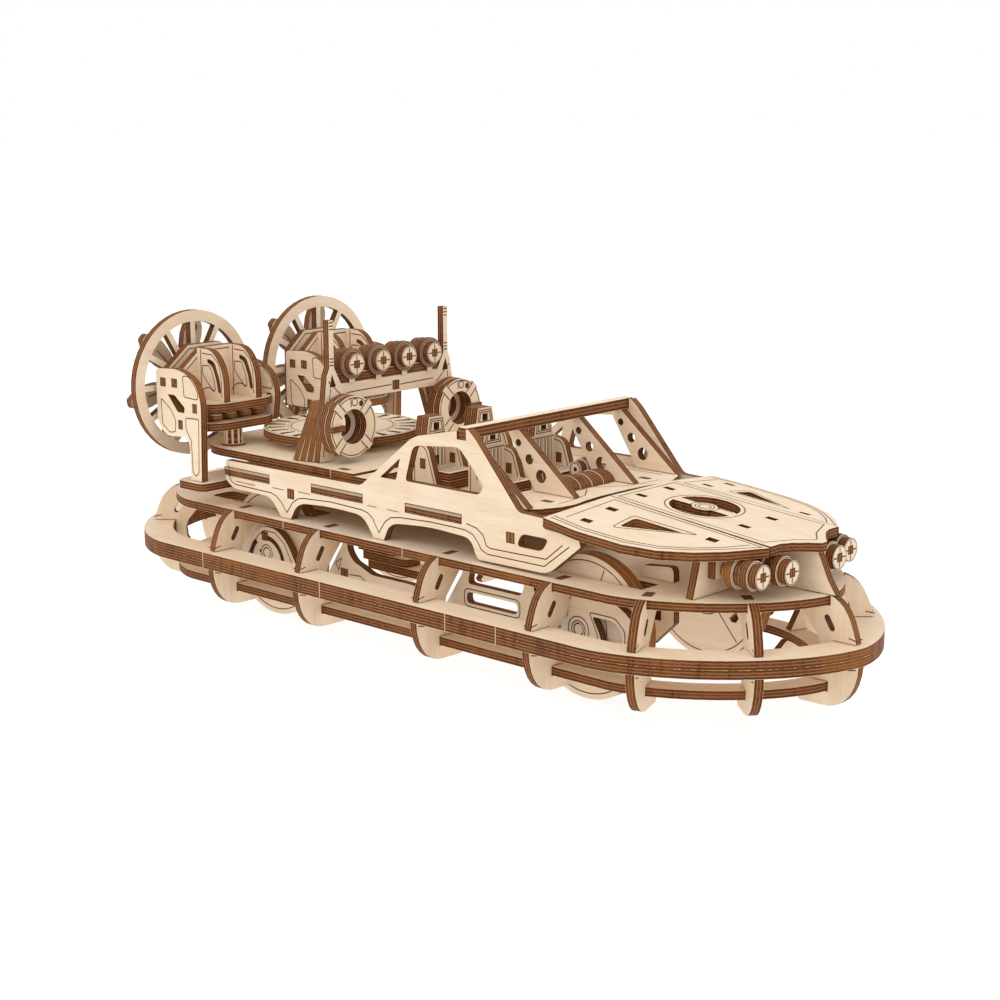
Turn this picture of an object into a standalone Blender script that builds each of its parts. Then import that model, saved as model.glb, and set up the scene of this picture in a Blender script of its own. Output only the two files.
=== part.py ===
"""Rescue hovercraft, a laser-cut plywood hobby model: boards, rings, ribs, wheels and lamps as pieces.

X points to the bow, Y to port and Z up. The hull's own heights are measured from the feet of its ribs.
The four wheels under it hold those feet LIFT above the floor, and every piece is raised by LIFT when it
is made. Sizes are in millimetres, and become metres in loops_to_mesh and in put.
"""
import bpy
import bmesh
import numpy as np
from math import cos, hypot, pi, radians, sin
from mathutils import Matrix, Vector

MM = 0.001

# The board and the joints between boards
PLY = 3.5
FIT = 0.3
SINK = 0.6

# The hull in plan: straight sides and superellipse ends
HALF_WIDTH = 70.0
SIDE_REAR = -127.2
SIDE_FRONT = 113.7
BOW_LENGTH = 75.5
STERN_LENGTH = 62.0
BOW_POWER = 1.69
STERN_POWER = 1.75
CURVE_STEPS = 20

# Heights of the hull's rings above the ribs' feet
BOTTOM_RING_Z = 5.7
MIDDLE_RING_Z = 18.0
DECK_Z = 38.2
DECK_TOP = DECK_Z + PLY
MIDDLE_RING_WIDTH = 13.0
DECK_INSET = 15.0
BOTTOM_RING_WIDTH = 9.0

# Ribs: a D of this depth and height behind the middle ring
RIB_OUT = 2.0
RIB_MID_INSET = 17.4
RIB_MID_Z = 19.5
RIB_POWER = 2.3

# Wheels
WHEEL_R = 28.0
AXLE_Z = 22.3
LIFT = WHEEL_R - AXLE_Z
FRONT_AXLE_X = 92.0
REAR_AXLE_X = -87.0
WHEEL_OUT = 40.5
WHEEL_WIDTH = 7.0
AXLE_R = 2.0
FRAME_OUT = 45.0
AXLE_HOLE_R = 2.6

# Upper works
PANEL_OUT = 51.0
PANEL_IN = PANEL_OUT - PLY
SHELF_Z = 55.5
PLATFORM_Z = 62.3
PLATFORM_TOP = PLATFORM_Z + PLY
PLATFORM_FRONT = -28.0
COCKPIT_REAR = -21.5
COAMING_Z = 61.3
COAMING_TOP = COAMING_Z + PLY
ROOF_Z = 88.8
ROOF_REAR, ROOF_FRONT = 29.6, 39.6

# Hood: one sloping middle plane, and two side planes that fall away from it
HOOD_REAR_X, HOOD_TOP_Z = 85.6, 68.6
HOOD_SLOPE = -0.0965
HOOD_SIDE_SLOPE = -0.13
HOOD_SEAM_Y = 19.4

# Nacelles and propellers
FAN_Y = 37.6
FAN_Z = 90.9
FAN_R = 32.6
FAN_RING_X = -146.0
PROP_X = -153.5
PROP_TIP_R = 30.4
PROP_BLADES = 6
PROP_TURN = radians(16)
CHEEK_Y = 22.8

# Arch with lamps and life rings
ARCH_X = -58.0
BEAM_TOP = 98.3
BEAM_LOW = 91.1
LAMP_Z = 106.4
RING_Y, RING_Z, RING_R = 32.1, 81.6, 13.8

PLY_FACE = (0.78, 0.60, 0.38)

for old in list(bpy.data.objects):
    bpy.data.objects.remove(old, do_unlink=True)


def ply_material(name, colour):
    """A matt wooden surface of one colour."""
    material = bpy.data.materials.new(name)
    material.use_nodes = True
    shader = material.node_tree.nodes["Principled BSDF"]
    shader.inputs["Base Color"].default_value = (*colour, 1)
    shader.inputs["Roughness"].default_value = 0.6
    shader.inputs["Metallic"].default_value = 0.0
    return material


# Outlines, all lists of (a, b) in millimetres

def circle(a, b, r, steps=24, start=0.0):
    """Points round a circle."""
    turns = [start + 2 * pi * i / steps for i in range(steps)]
    return [(a + r * cos(t), b + r * sin(t)) for t in turns]


def box(a0, b0, a1, b1):
    """A rectangle between two corners."""
    return [(a0, b0), (a1, b0), (a1, b1), (a0, b1)]


def rounded(corners, steps=3):
    """A polygon whose corners (a, b, radius) are turned to arcs, approximated by quadratic curves."""
    points = []
    count = len(corners)
    for i, (a, b, r) in enumerate(corners):
        if r <= 0:
            points.append((a, b))
            continue
        for_end = []
        for other in (corners[i - 1], corners[(i + 1) % count]):
            length = hypot(other[0] - a, other[1] - b)
            t = min(0.48, r / length)
            for_end.append((a + (other[0] - a) * t, b + (other[1] - b) * t))
        (a0, b0), (a1, b1) = for_end
        for k in range(steps + 1):
            t = k / steps
            u = 1 - t
            point_a = u * u * a0 + 2 * u * t * a + t * t * a1
            point_b = u * u * b0 + 2 * u * t * b + t * t * b1
            points.append((point_a, point_b))
    return points


def mirrored_b(points):
    """The outline on the other side of the a axis, kept in the same turning sense."""
    return [(a, -b) for a, b in reversed(points)]


def mirrored_a(points):
    """The outline on the other side of the b axis."""
    return [(-a, b) for a, b in reversed(points)]


def hull_quarter(length, power):
    """One quarter of a superellipse end, from its tip to the straight side, as arrays of x and y."""
    angle = np.linspace(0, pi / 2, CURVE_STEPS + 1)
    return length * np.cos(angle) ** (2 / power), HALF_WIDTH * np.sin(angle) ** (2 / power)


def hull_outline():
    """The middle ring's outer edge, anticlockwise from the nose."""
    bow_x, bow_y = hull_quarter(BOW_LENGTH, BOW_POWER)
    stern_x, stern_y = hull_quarter(STERN_LENGTH, STERN_POWER)
    port = list(zip(SIDE_FRONT + bow_x, bow_y))
    port += list(zip(SIDE_REAR - stern_x[::-1], stern_y[::-1]))
    port = [(float(x), max(0.0, float(y))) for x, y in port]
    return port + [(x, -y) for x, y in reversed(port[1:-1])]


HULL = np.array(hull_outline())


def distance_to_hull(point):
    """How far a point lies from the hull's outer edge."""
    start, end = HULL, np.roll(HULL, -1, axis=0)
    along = end - start
    t = np.clip(((point - start) * along).sum(1) / (along ** 2).sum(1), 0, 1)
    return np.sqrt(((start + along * t[:, None] - point) ** 2).sum(1)).min()


def hull_offset(inset):
    """The hull's edge moved inwards by the inset, without the points that would fold over."""
    before, after = np.roll(HULL, 1, axis=0), np.roll(HULL, -1, axis=0)
    along = after - before
    normal = np.stack([-along[:, 1], along[:, 0]], 1) / np.sqrt((along ** 2).sum(1))[:, None]
    moved = HULL + normal * inset
    return [tuple(map(float, p)) for p in moved if distance_to_hull(p) > inset - 0.08]


def hull_station(x, side, at_bow):
    """The point on the hull's edge at this x, and the inward direction there."""
    length, power = (BOW_LENGTH, BOW_POWER) if at_bow else (STERN_LENGTH, STERN_POWER)
    t = (x - SIDE_FRONT) / length if at_bow else (SIDE_REAR - x) / length
    y = HALF_WIDTH * (1 - t ** power) ** (1 / power)
    slope_x = t ** (power - 1) / length * (1 if at_bow else -1)
    slope_y = (y / HALF_WIDTH) ** (power - 1) / HALF_WIDTH
    size = hypot(slope_x, slope_y)
    return (x, side * y), (-slope_x / size, -side * slope_y / size)


# Placements: where a flat outline and its thickness go

def flat(z):
    """The outline lies level, its underside at z."""
    return Matrix.Translation(Vector((0, 0, z)))


def lengthwise(y_high):
    """The outline (x, z) stands along the hull, and the board reaches from y_high towards starboard."""
    turn = Matrix(((1, 0, 0, 0), (0, 0, -1, y_high), (0, 1, 0, 0), (0, 0, 0, 1)))
    return turn


def crosswise(x_low):
    """The outline (y, z) stands across the hull, and the board reaches from x_low towards the bow."""
    return Matrix(((0, 0, 1, x_low), (1, 0, 0, 0), (0, 1, 0, 0), (0, 0, 0, 1)))


def radial(point, inward):
    """The outline (inset, z) stands on the line from a point of the hull's edge inwards."""
    (x, y), (a, b) = point, inward
    side = Vector((b, -a, 0))
    corner = Vector((x, y, 0)) - side * PLY / 2
    return Matrix(((a, 0, side.x, corner.x), (b, 0, side.y, corner.y), (0, 1, 0, 0), (0, 0, 0, 1)))


def loops_to_mesh(name, loops, thickness):
    """A board: the first loop is its outline and the others are holes."""
    bm = bmesh.new()
    for loop in loops:
        verts = [bm.verts.new((a * MM, b * MM, 0)) for a, b in loop]
        for i, vert in enumerate(verts):
            bm.edges.new((vert, verts[(i + 1) % len(verts)]))
    bmesh.ops.triangle_fill(bm, use_beauty=True, use_dissolve=False, edges=bm.edges[:], normal=(0, 0, 1))
    raised = bmesh.ops.extrude_face_region(bm, geom=bm.faces[:])
    moved = [v for v in raised["geom"] if isinstance(v, bmesh.types.BMVert)]
    bmesh.ops.translate(bm, verts=moved, vec=(0, 0, thickness * MM))
    bmesh.ops.recalc_face_normals(bm, faces=bm.faces[:])
    mesh = bpy.data.meshes.new(name)
    bm.to_mesh(mesh)
    bm.free()
    return mesh


def put(name, mesh, placement, material):
    """An object of this mesh at a placement in millimetres, raised by LIFT."""
    piece = bpy.data.objects.new(name, mesh)
    bpy.context.scene.collection.objects.link(piece)
    matrix = placement.copy()
    matrix.translation = (placement.translation + Vector((0, 0, LIFT))) * MM
    piece.matrix_world = matrix
    if not mesh.materials:
        mesh.materials.append(material)
    return piece


def board(name, placement, outline, holes=(), thickness=PLY, material=None):
    """One laser-cut board."""
    mesh = loops_to_mesh(name, [outline, *holes], thickness)
    return put(name, mesh, placement, material or WOOD)


def baked(piece):
    """The piece with its modifiers applied and their cutters gone."""
    cutters = [m.object for m in piece.modifiers if m.type == "BOOLEAN"]
    graph = bpy.context.evaluated_depsgraph_get()
    mesh = bpy.data.meshes.new_from_object(piece.evaluated_get(graph))
    mesh.name = piece.name
    piece.modifiers.clear()
    piece.data = mesh
    for cutter in cutters:
        bpy.data.objects.remove(cutter, do_unlink=True)
    return piece


def combine(piece, others, operation="UNION"):
    """One solid from a piece and the pieces that are glued to it, or cut from it."""
    for other in others:
        modifier = piece.modifiers.new(operation.lower(), "BOOLEAN")
        modifier.operation = operation
        modifier.solver = "EXACT"
        modifier.object = other
    bpy.context.view_layer.update()
    return baked(piece)


WOOD = ply_material("pale_plywood", PLY_FACE)
SIDES = (("starboard", -1), ("port", 1))


# Hull rings and deck

def ring(name, z, outer_inset, width, thickness=PLY):
    """A closed band that follows the hull's plan."""
    outer = hull_offset(outer_inset) if outer_inset else [tuple(p) for p in HULL]
    return board(name, flat(z), outer, [hull_offset(outer_inset + width)], thickness)


ring("middle_ring", MIDDLE_RING_Z, 0, MIDDLE_RING_WIDTH, 2 * PLY)
ring("bottom_ring", BOTTOM_RING_Z, DECK_INSET, BOTTOM_RING_WIDTH)

# Ribs: x, or None at the nose and the stern, and which end of the hull curves there
RIBS = (
    ("rib_1", -97.5, None),
    ("rib_2", -42.4, None),
    ("rib_3", 27.0, None),
    ("rib_4", 85.9, None),
    ("rib_5", 132.9, True),
    ("rib_6", 171.0, True),
    ("rib_stern", -170.0, False),
)
TENON_IN, TENON_OUT = 20.0, 26.0

# A rib's outer edge above the middle ring: (inset, z)
RIB_TOP = [(13.0, 41.1), (10.8, 39.8), (8.9, 38.1), (7.3, 35.9), (5.9, 33.2), (4.7, 30.0), (3.8, 27.2)]


def rib_edge(z):
    """The inset of a rib's rounded outer edge at a height."""
    rise = min(1.0, abs(z - RIB_MID_Z) / RIB_MID_Z)
    return RIB_MID_INSET - (RIB_MID_INSET - RIB_OUT) * (1 - rise ** RIB_POWER) ** (1 / RIB_POWER)


def rib_outline():
    """(inset, z) round one rib, with notches for the deck, the middle ring and the bottom ring."""
    ring_low, ring_high = MIDDLE_RING_Z - FIT, MIDDLE_RING_Z + 2 * PLY + FIT
    ring_in = MIDDLE_RING_WIDTH + FIT
    low, high = BOTTOM_RING_Z - FIT, BOTTOM_RING_Z + PLY + FIT
    lower = [(rib_edge(z), z) for z in (ring_low, 13.5, 9.5, 6.3, 3.8, 2.0, 0.9, 0.25)]
    deck_face = DECK_Z - FIT
    points = [(DECK_INSET - FIT, DECK_TOP)]
    points += RIB_TOP + [(RIB_TOP[-1][0] - 0.4, ring_high), (ring_in, ring_high), (ring_in, ring_low)] + lower
    points += [(RIB_MID_INSET, 0.0), (27.0, 0.0), (28.2, 1.6), (24.5, low)]
    points += [(DECK_INSET - FIT, low), (DECK_INSET - FIT, high), (22.4, high)]
    points += [(18.2, 17.5), (17.8, 21.5), (18.8, 25.0), (28.2, 36.4), (28.2, deck_face)]
    points += [(TENON_OUT, deck_face), (TENON_OUT, DECK_TOP), (TENON_IN, DECK_TOP), (TENON_IN, deck_face)]
    points += [(DECK_INSET - FIT, deck_face)]
    return points


def rib_hole():
    """The slanted slot in a rib's upper half."""
    length, half = 2.2, 1.2
    a, b = 14.8, 31.5
    turn = radians(58)
    points = []
    for sign in (1, -1):
        end_a, end_b = a + sign * length * cos(turn), b + sign * length * sin(turn)
        for t in np.linspace(turn - pi / 2, turn + pi / 2, 5):
            points.append((end_a + sign * half * float(cos(t)), end_b + sign * half * float(sin(t))))
    return points


deck_slots = []


def add_rib(name, point, inward):
    """One rib at a station, and the slot that its tenon takes in the deck."""
    board(name, radial(point, inward), rib_outline(), [rib_hole()])
    (x, y), (a, b) = point, inward
    half = PLY / 2 + FIT
    corners = box(TENON_IN - FIT, -half, TENON_OUT + FIT, half)
    deck_slots.append([(x + a * inset + b * side, y + b * inset - a * side) for inset, side in corners])


for rib_name, rib_x, at_bow in RIBS:
    for side_name, side in SIDES:
        if at_bow is None:
            add_rib(f"{rib_name}_{side_name}", (rib_x, side * HALF_WIDTH), (0.0, -float(side)))
        else:
            add_rib(f"{rib_name}_{side_name}", *hull_station(rib_x, side, at_bow))
add_rib("rib_nose", (SIDE_FRONT + BOW_LENGTH, 0.0), (-1.0, 0.0))
add_rib("rib_tail", (SIDE_REAR - STERN_LENGTH, 0.0), (1.0, 0.0))

WHEEL_WELL_HALF = 27.0
wells = []
for side_name, side in SIDES:
    low, high = sorted((side * (WHEEL_OUT - WHEEL_WIDTH - 2.5), side * (WHEEL_OUT + 0.7)))
    wells.append(box(FRONT_AXLE_X - WHEEL_WELL_HALF, low, FRONT_AXLE_X + WHEEL_WELL_HALF, high))
    low, high = sorted((side * 30.0, side * 42.0))
    wells.append(rounded([(-128, low, 3), (REAR_AXLE_X + WHEEL_WELL_HALF, low, 3),
                          (REAR_AXLE_X + WHEEL_WELL_HALF, high, 3), (-128, high, 3)]))
board("deck", flat(DECK_Z), hull_offset(DECK_INSET), deck_slots + wells)

# Wheels on their axles
for end, axle_x in (("front", FRONT_AXLE_X), ("rear", REAR_AXLE_X)):
    pieces = []
    for side_name, side in SIDES:
        high = max(side * WHEEL_OUT, side * (WHEEL_OUT - WHEEL_WIDTH))
        disc = circle(0, 0, WHEEL_R, 48)
        pieces.append(board(f"{end}_{side_name}", lengthwise(high), disc, (), WHEEL_WIDTH))
    axle = board(f"{end}_wheels", lengthwise(FRAME_OUT), circle(0, 0, AXLE_R, 16), (), 2 * FRAME_OUT)
    for piece in pieces + [axle]:
        piece.location += Vector((axle_x, 0, AXLE_Z)) * MM
    bpy.context.view_layer.update()
    combine(axle, pieces)

# Side frames inside the hull, which carry the axles and hang from the deck
FRAME_TOP = DECK_Z - FIT
for side_name, side in SIDES:
    outline = rounded([
        (-104.0, 13.5, 2), (118.0, 13.5, 3), (118.0, 30.5, 4), (111.0, 34.6, 3), (104.0, FRAME_TOP, 2),
        (88.5, FRAME_TOP, 1), (88.4, 34.0, 2), (86.3, 26.0, 2), (81.4, 18.6, 2), (74.0, 18.6, 2),
        (70.5, 31.0, 3), (68.0, FRAME_TOP, 2), (32.5, FRAME_TOP, 1), (31.3, 33.3, 1), (21.8, 18.6, 2),
        (12.0, 18.6, 2), (6.0, 23.8, 4), (-20.4, 23.7, 3), (-23.4, 24.8, 2), (-27.3, 26.4, 2),
        (-31.1, 27.4, 2), (-34.9, 31.5, 2), (-35.5, FRAME_TOP, 0), (-37.5, FRAME_TOP, 0), (-38.0, 34.4, 1),
        (-49.0, 17.6, 2), (-66.5, 17.6, 1), (-69.8, 23.1, 3), (-73.7, 29.2, 4), (-80.2, 33.9, 4),
        (-88.7, 34.0, 4), (-93.1, 31.3, 3), (-104.0, 18.5, 2)])
    holes = [circle(FRONT_AXLE_X, AXLE_Z, AXLE_HOLE_R, 16), circle(REAR_AXLE_X, AXLE_Z, AXLE_HOLE_R, 16),
             rounded([(34.5, 29.9, 2), (63.0, 29.9, 2), (65.0, 36.2, 2), (36.0, 36.2, 2)]),
             rounded([(34.0, 22.0, 2), (61.0, 22.0, 2), (61.0, 26.6, 2), (34.0, 26.6, 2)]),
             rounded([(98.5, 28.5, 1.5), (109.0, 28.5, 2), (113.0, 25.0, 2), (113.0, 17.0, 1),
                      (103.5, 17.0, 1), (102.5, 22.0, 2)])]
    high = max(side * FRAME_OUT, side * (FRAME_OUT - PLY))
    board(f"side_frame_{side_name}", lengthwise(high), outline, holes)

# Side panels of the upper works: (x, z, corner radius)
TONGUES = ((-107.0, -77.0), (-50.0, -19.0), (6.0, 37.0))
NOTCH_X, NOTCH_LOW, NOTCH_HIGH = TONGUES[0][1] + FIT, SHELF_Z - FIT, SHELF_Z + PLY + FIT
PANEL = (
    (-105.6, 62.0, 0), (-105.8, NOTCH_HIGH, 0), (NOTCH_X, NOTCH_HIGH, 0), (NOTCH_X, NOTCH_LOW, 0),
    (-106.2, NOTCH_LOW, 0), (-106.3, 53.5, 4), (-100.7, 49.9, 4), (-76.0, 49.9, 5), (-69.8, 42.0, 0),
    (-63.5, 42.0, 0), (-59.0, 49.6, 6), (-38.6, 51.0, 8), (-18.5, 50.3, 5), (-12.6, 42.0, 0),
    (-6.6, 42.0, 0), (-3.0, 49.6, 6), (19.8, 51.5, 8), (42.0, 50.5, 4), (45.5, 42.6, 2), (80.0, 43.0, 2),
    (84.0, 44.6, 2), (97.9, 55.9, 0), (96.9, 58.8, 0), (78.9, 60.3, 2), (79.9, 64.0, 0), (67.1, 64.4, 2),
    (44.7, 89.8, 2), (40.8, 93.0, 0), (ROOF_FRONT + FIT, 92.8, 0), (ROOF_FRONT + FIT, ROOF_Z - FIT, 0),
    (ROOF_REAR - FIT, ROOF_Z - FIT, 0), (ROOF_REAR - FIT, 90.6, 0), (10.8, 86.6, 4), (-19.8, 62.7, 2),
)
WINDOW = ((10.8, 83.0, 3), (6.1, 68.1, 2), (46.6, 68.2, 2), (49.3, 72.1, 2), (36.0, 85.6, 3))
QUARTER_WINDOW = ((-8.3, 67.7, 0.6), (1.0, 67.8, 1), (3.4, 77.0, 1))
for side_name, side in SIDES:
    holes = [rounded(WINDOW), rounded(QUARTER_WINDOW)]
    for x0, x1 in TONGUES[1:]:
        holes.append(box(x0 - FIT, NOTCH_LOW, x1 + FIT, NOTCH_HIGH))
    holes.append(rounded([(66.0, 51.2, 2.5), (79.0, 51.2, 2.5), (82.4, 56.5, 2.5), (68.5, 56.5, 2.5)]))
    high = max(side * PANEL_OUT, side * PANEL_IN)
    board(f"side_panel_{side_name}", lengthwise(high), rounded(PANEL), holes)

# The shelf between the side panels, with tongues through their slots
inner = PANEL_IN - FIT
tongue_out = PANEL_OUT - FIT
shelf = [(72.0, -inner), (72.0, inner)]
for x0, x1 in reversed(TONGUES):
    shelf += [(x1, inner), (x1, tongue_out), (x0, tongue_out), (x0, inner)]
shelf += [(-108.0, inner), (-108.0, -inner)]
for x0, x1 in TONGUES:
    shelf += [(x0, -inner), (x0, -tongue_out), (x1, -tongue_out), (x1, -inner)]
board("shelf", flat(SHELF_Z), shelf)

# Rear platform and coaming
PLATFORM_REAR, SHOULDER_X, SHOULDER_Y = -137.0, -122.0, 32.0
platform_side = [(PLATFORM_FRONT, inner, 0), (SHOULDER_X, inner, 8), (PLATFORM_REAR, SHOULDER_Y, 8)]
platform = [(a, -b, r) for a, b, r in reversed(platform_side)] + platform_side
board("rear_platform", flat(PLATFORM_Z), rounded(platform))
coaming_rear = PLATFORM_FRONT + FIT
coaming_front = [(66.0, inner), (70.5, 42), (74.0, 34), (74.6, 27), (73.0, 19), (72.0, 9)]
coaming = [(coaming_rear, inner), (coaming_rear, -inner)]
coaming += [(x, -y) for x, y in coaming_front] + coaming_front[::-1]
cockpit = rounded([(COCKPIT_REAR, -38, 5), (44, -38, 5), (44, 38, 5), (COCKPIT_REAR, 38, 5)])
board("coaming", flat(COAMING_Z), coaming, [cockpit])

# Roof bar and windscreen pillars
ROOF_HALF = 50.3
roof_bar = [(a, b, 1) for a, b in box(ROOF_REAR, -ROOF_HALF, ROOF_FRONT, ROOF_HALF)]
board("roof_bar", flat(ROOF_Z), rounded(roof_bar))
PILLAR = ((32.5, ROOF_Z - FIT), (47.5, COAMING_TOP + FIT), (68.0, COAMING_TOP + FIT), (39.0, ROOF_Z - FIT))
PILLAR_HOLES = ((38.8, 83.4, 1.5), (44.6, 77.4, 2.1), (50.8, 71.3, 2.7))
for pillar_name, y_high in (("pillar_starboard", -16.5), ("pillar_port", 20.0),
                            ("pillar_side_starboard", -43.5), ("pillar_side_port", 47.0)):
    board(pillar_name, lengthwise(y_high), list(PILLAR), [circle(*hole, 12) for hole in PILLAR_HOLES])


# Hood: boards whose faces follow the sloping planes

def sloped(name, outline, holes, side):
    """A hood board, drawn in plan and lifted onto its plane; side is 0 for the middle board."""
    piece = board(name, flat(0), outline, holes)
    fall = HOOD_SIDE_SLOPE if side else 0.0
    for vert in piece.data.vertices:
        x, y = vert.co.x / MM, vert.co.y / MM
        drop = fall * (abs(y) - HOOD_SEAM_Y)
        vert.co.z += (HOOD_TOP_Z - PLY + HOOD_SLOPE * (x - HOOD_REAR_X) + drop) * MM
    return piece


BAR_HALF, BULGE_R, VENT_R, VENT_X = 2.0, 5.0, 13.6, 116.0


def crescent(sign):
    """Half of the round vent beside its bulged bar."""
    out = [(VENT_X + VENT_R * cos(t), sign * VENT_R * sin(t)) for t in np.linspace(0.17, pi - 0.17, 13)]
    back = [(VENT_X - 8.0, sign * BAR_HALF), (VENT_X - 4.4, sign * BAR_HALF)]
    back += [(VENT_X + BULGE_R * cos(t), sign * BULGE_R * sin(t)) for t in (2.4, 2.0, pi / 2, 1.14, 0.74)]
    back += [(VENT_X + 4.4, sign * BAR_HALF), (VENT_X + 8.0, sign * BAR_HALF)]
    return [(float(a), float(b)) for a, b in out + back]


hood_nose = [(170.0, 1.5), (166.5, 5.8), (163.0, 11.2), (161.5, 15.5), (161.5, 21.5), (85.6, 19.1)]
hood_middle = mirrored_b(hood_nose) + hood_nose
SLOT_LONG, SLOT_WIDE = 2.4, 1.5


def hood_slot(x, y):
    """A small slot in the hood for a tenon from below."""
    return box(x - SLOT_LONG, y - SLOT_WIDE, x + SLOT_LONG, y + SLOT_WIDE)


hood_slots = [hood_slot(x, y) for x in (92.3, 140.7) for y in (-8.6, 8.6)]
sloped("hood_middle", hood_middle, [crescent(-1), crescent(1)] + hood_slots, 0)
hood_side = [(85.6, 19.7), (80.6, 52.3), (98.0, 54.3), (119.0, 53.4), (132.0, 49.8), (143.0, 43.0),
             (152.0, 34.5), (161.5, 22.2)]
vent = rounded([(107.6, 40.8, 2), (107.2, 30.8, 2), (130.0, 30.8, 2)])
side_slots = [hood_slot(x, y) for x, y in ((95.0, 29.6), (95.0, 44.2), (141.5, 29.2))]
for side_name, side in SIDES:
    loops = [hood_side, vent] + side_slots
    if side < 0:
        loops = [mirrored_b(loop) for loop in loops]
    sloped(f"hood_{side_name}", loops[0], loops[1:], side)


def hood_underside(x, y=0.0):
    """The height just under the hood at a place."""
    drop = HOOD_SIDE_SLOPE * max(0.0, abs(y) - HOOD_SEAM_Y)
    return HOOD_TOP_Z - PLY + HOOD_SLOPE * (x - HOOD_REAR_X) + drop - FIT


# Plates under the hood
bow_plate = [(147.0, 42.0), (176.5, 42.0), (173.0, 47.1), (168.5, hood_underside(168.5)),
             (147.0, hood_underside(147.0))]
board("bow_plate", lengthwise(PLY / 2), bow_plate)
CROSS_X = 138.5
front_low = hood_underside(CROSS_X + PLY, 36.0)
front_mid = hood_underside(CROSS_X + PLY)
hood_cross = [(-40.5, 42.0), (40.5, 42.0), (36.0, front_low), (HOOD_SEAM_Y + 2.0, front_mid - 0.3),
              (-HOOD_SEAM_Y - 2.0, front_mid - 0.3), (-36.0, front_low)]
board("hood_cross_frame", crosswise(CROSS_X), hood_cross)


# Round things on an axis along X

def turned(name, x_low, y, z, steps, material=None, sides=14):
    """Discs glued face to face: steps is (thickness, radius), from the stern side forwards."""
    pieces = []
    x = x_low
    for i, (thickness, radius) in enumerate(steps):
        longer = 0.0 if i == len(steps) - 1 else SINK
        disc = circle(y, z, radius, sides, 0.13 * i)
        pieces.append(board(f"{name}_disc_{i}", crosswise(x), disc, (), thickness + longer, material))
        x += thickness
    return pieces


HEADLIGHT_Z = 51.4
LAMP = ((3.5, 2.6), (3.5, 5.9), (3.2, 4.8), (3.2, 5.5), (3.5, 4.6))
lamp_base = CROSS_X + PLY + FIT
for side_name, side in SIDES:
    parts = []
    for i, (y, out) in enumerate(((15.2, 8.2), (28.0, 4.6))):
        steps = ((out, 2.2),) + LAMP[1:]
        parts += turned(f"lamp_{side_name}_{i}", lamp_base + PLY - SINK, side * y, HEADLIGHT_Z, steps)
    backing = sorted((side * 10.5, side * 32.5))
    name = f"headlights_{side_name}"
    combine(board(name, crosswise(lamp_base), box(backing[0], 48.5, backing[1], 55.5)), parts)

# Arch with antennas: a board across the hull, and three more behind each of its legs
FOOT_Z = PLATFORM_TOP + FIT
ANTENNA_TOP = 125.6
LEG_BOARDS = 3
arch_right = [(41.9, FOOT_Z), (36.9, 102.5), (35.4, 105.6), (35.4, ANTENNA_TOP), (32.8, ANTENNA_TOP),
              (32.8, 105.4), (28.9, BEAM_TOP)]
arch_under = [(27.5, BEAM_LOW), (34.5, FOOT_Z)]
arch_outline = arch_right + [(-a, b) for a, b in reversed(arch_right)]
arch_outline += [(-a, b) for a, b in reversed(arch_under)] + arch_under
antenna_gap = [(34.0, 102.9), (31.8, 97.4), (35.6, 97.4)]
arch = board("arch", crosswise(ARCH_X), arch_outline, [antenna_gap, mirrored_a(antenna_gap)])
leg_boards = []
for k in range(1, LEG_BOARDS + 1):
    outer_foot, outer_top = 41.9 + 0.9 * k, 37.4 - 2.2 * k
    leg = [(outer_foot, FOOT_Z), (outer_top, 96.0), (outer_top - 3.0, 96.0), (outer_foot - 6.5, FOOT_Z)]
    for outline in (leg, mirrored_a(leg)):
        leg_boards.append(board("leg", crosswise(ARCH_X - PLY * k), outline, (), PLY + SINK))
combine(arch, leg_boards)

# Searchlights on one strip: (thickness, radius) of each lamp's discs
SEARCHLIGHT = ((3.2, 5.8), (3.6, 6.2), (2.0, 6.6), (2.7, 4.2))
parts = []
for i, y in enumerate((-23.3, -7.75, 7.75, 23.3)):
    parts += turned(f"searchlight_{i}", ARCH_X - 4.0, y, LAMP_Z, SEARCHLIGHT)
combine(board("searchlights", flat(BEAM_TOP + FIT), box(ARCH_X, -29.0, ARCH_X + PLY, 29.0)), parts)

# Life rings in front of the arch's legs
RING_HOLE_R, RING_BACK_R, RING_BACK_HOLE_R = 7.4, 10.5, 5.0
for side_name, side in SIDES:
    x_back = ARCH_X + PLY + FIT
    y = side * RING_Y
    front = board(f"life_ring_{side_name}", crosswise(x_back + PLY - SINK), circle(y, RING_Z, RING_R, 30),
                  [circle(y, RING_Z, RING_HOLE_R, 18)], 2 * PLY + SINK)
    back = board("back", crosswise(x_back), circle(y, RING_Z, RING_BACK_R, 18),
                 [circle(y, RING_Z, RING_BACK_HOLE_R, 12)], PLY)
    combine(front, [back])

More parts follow.
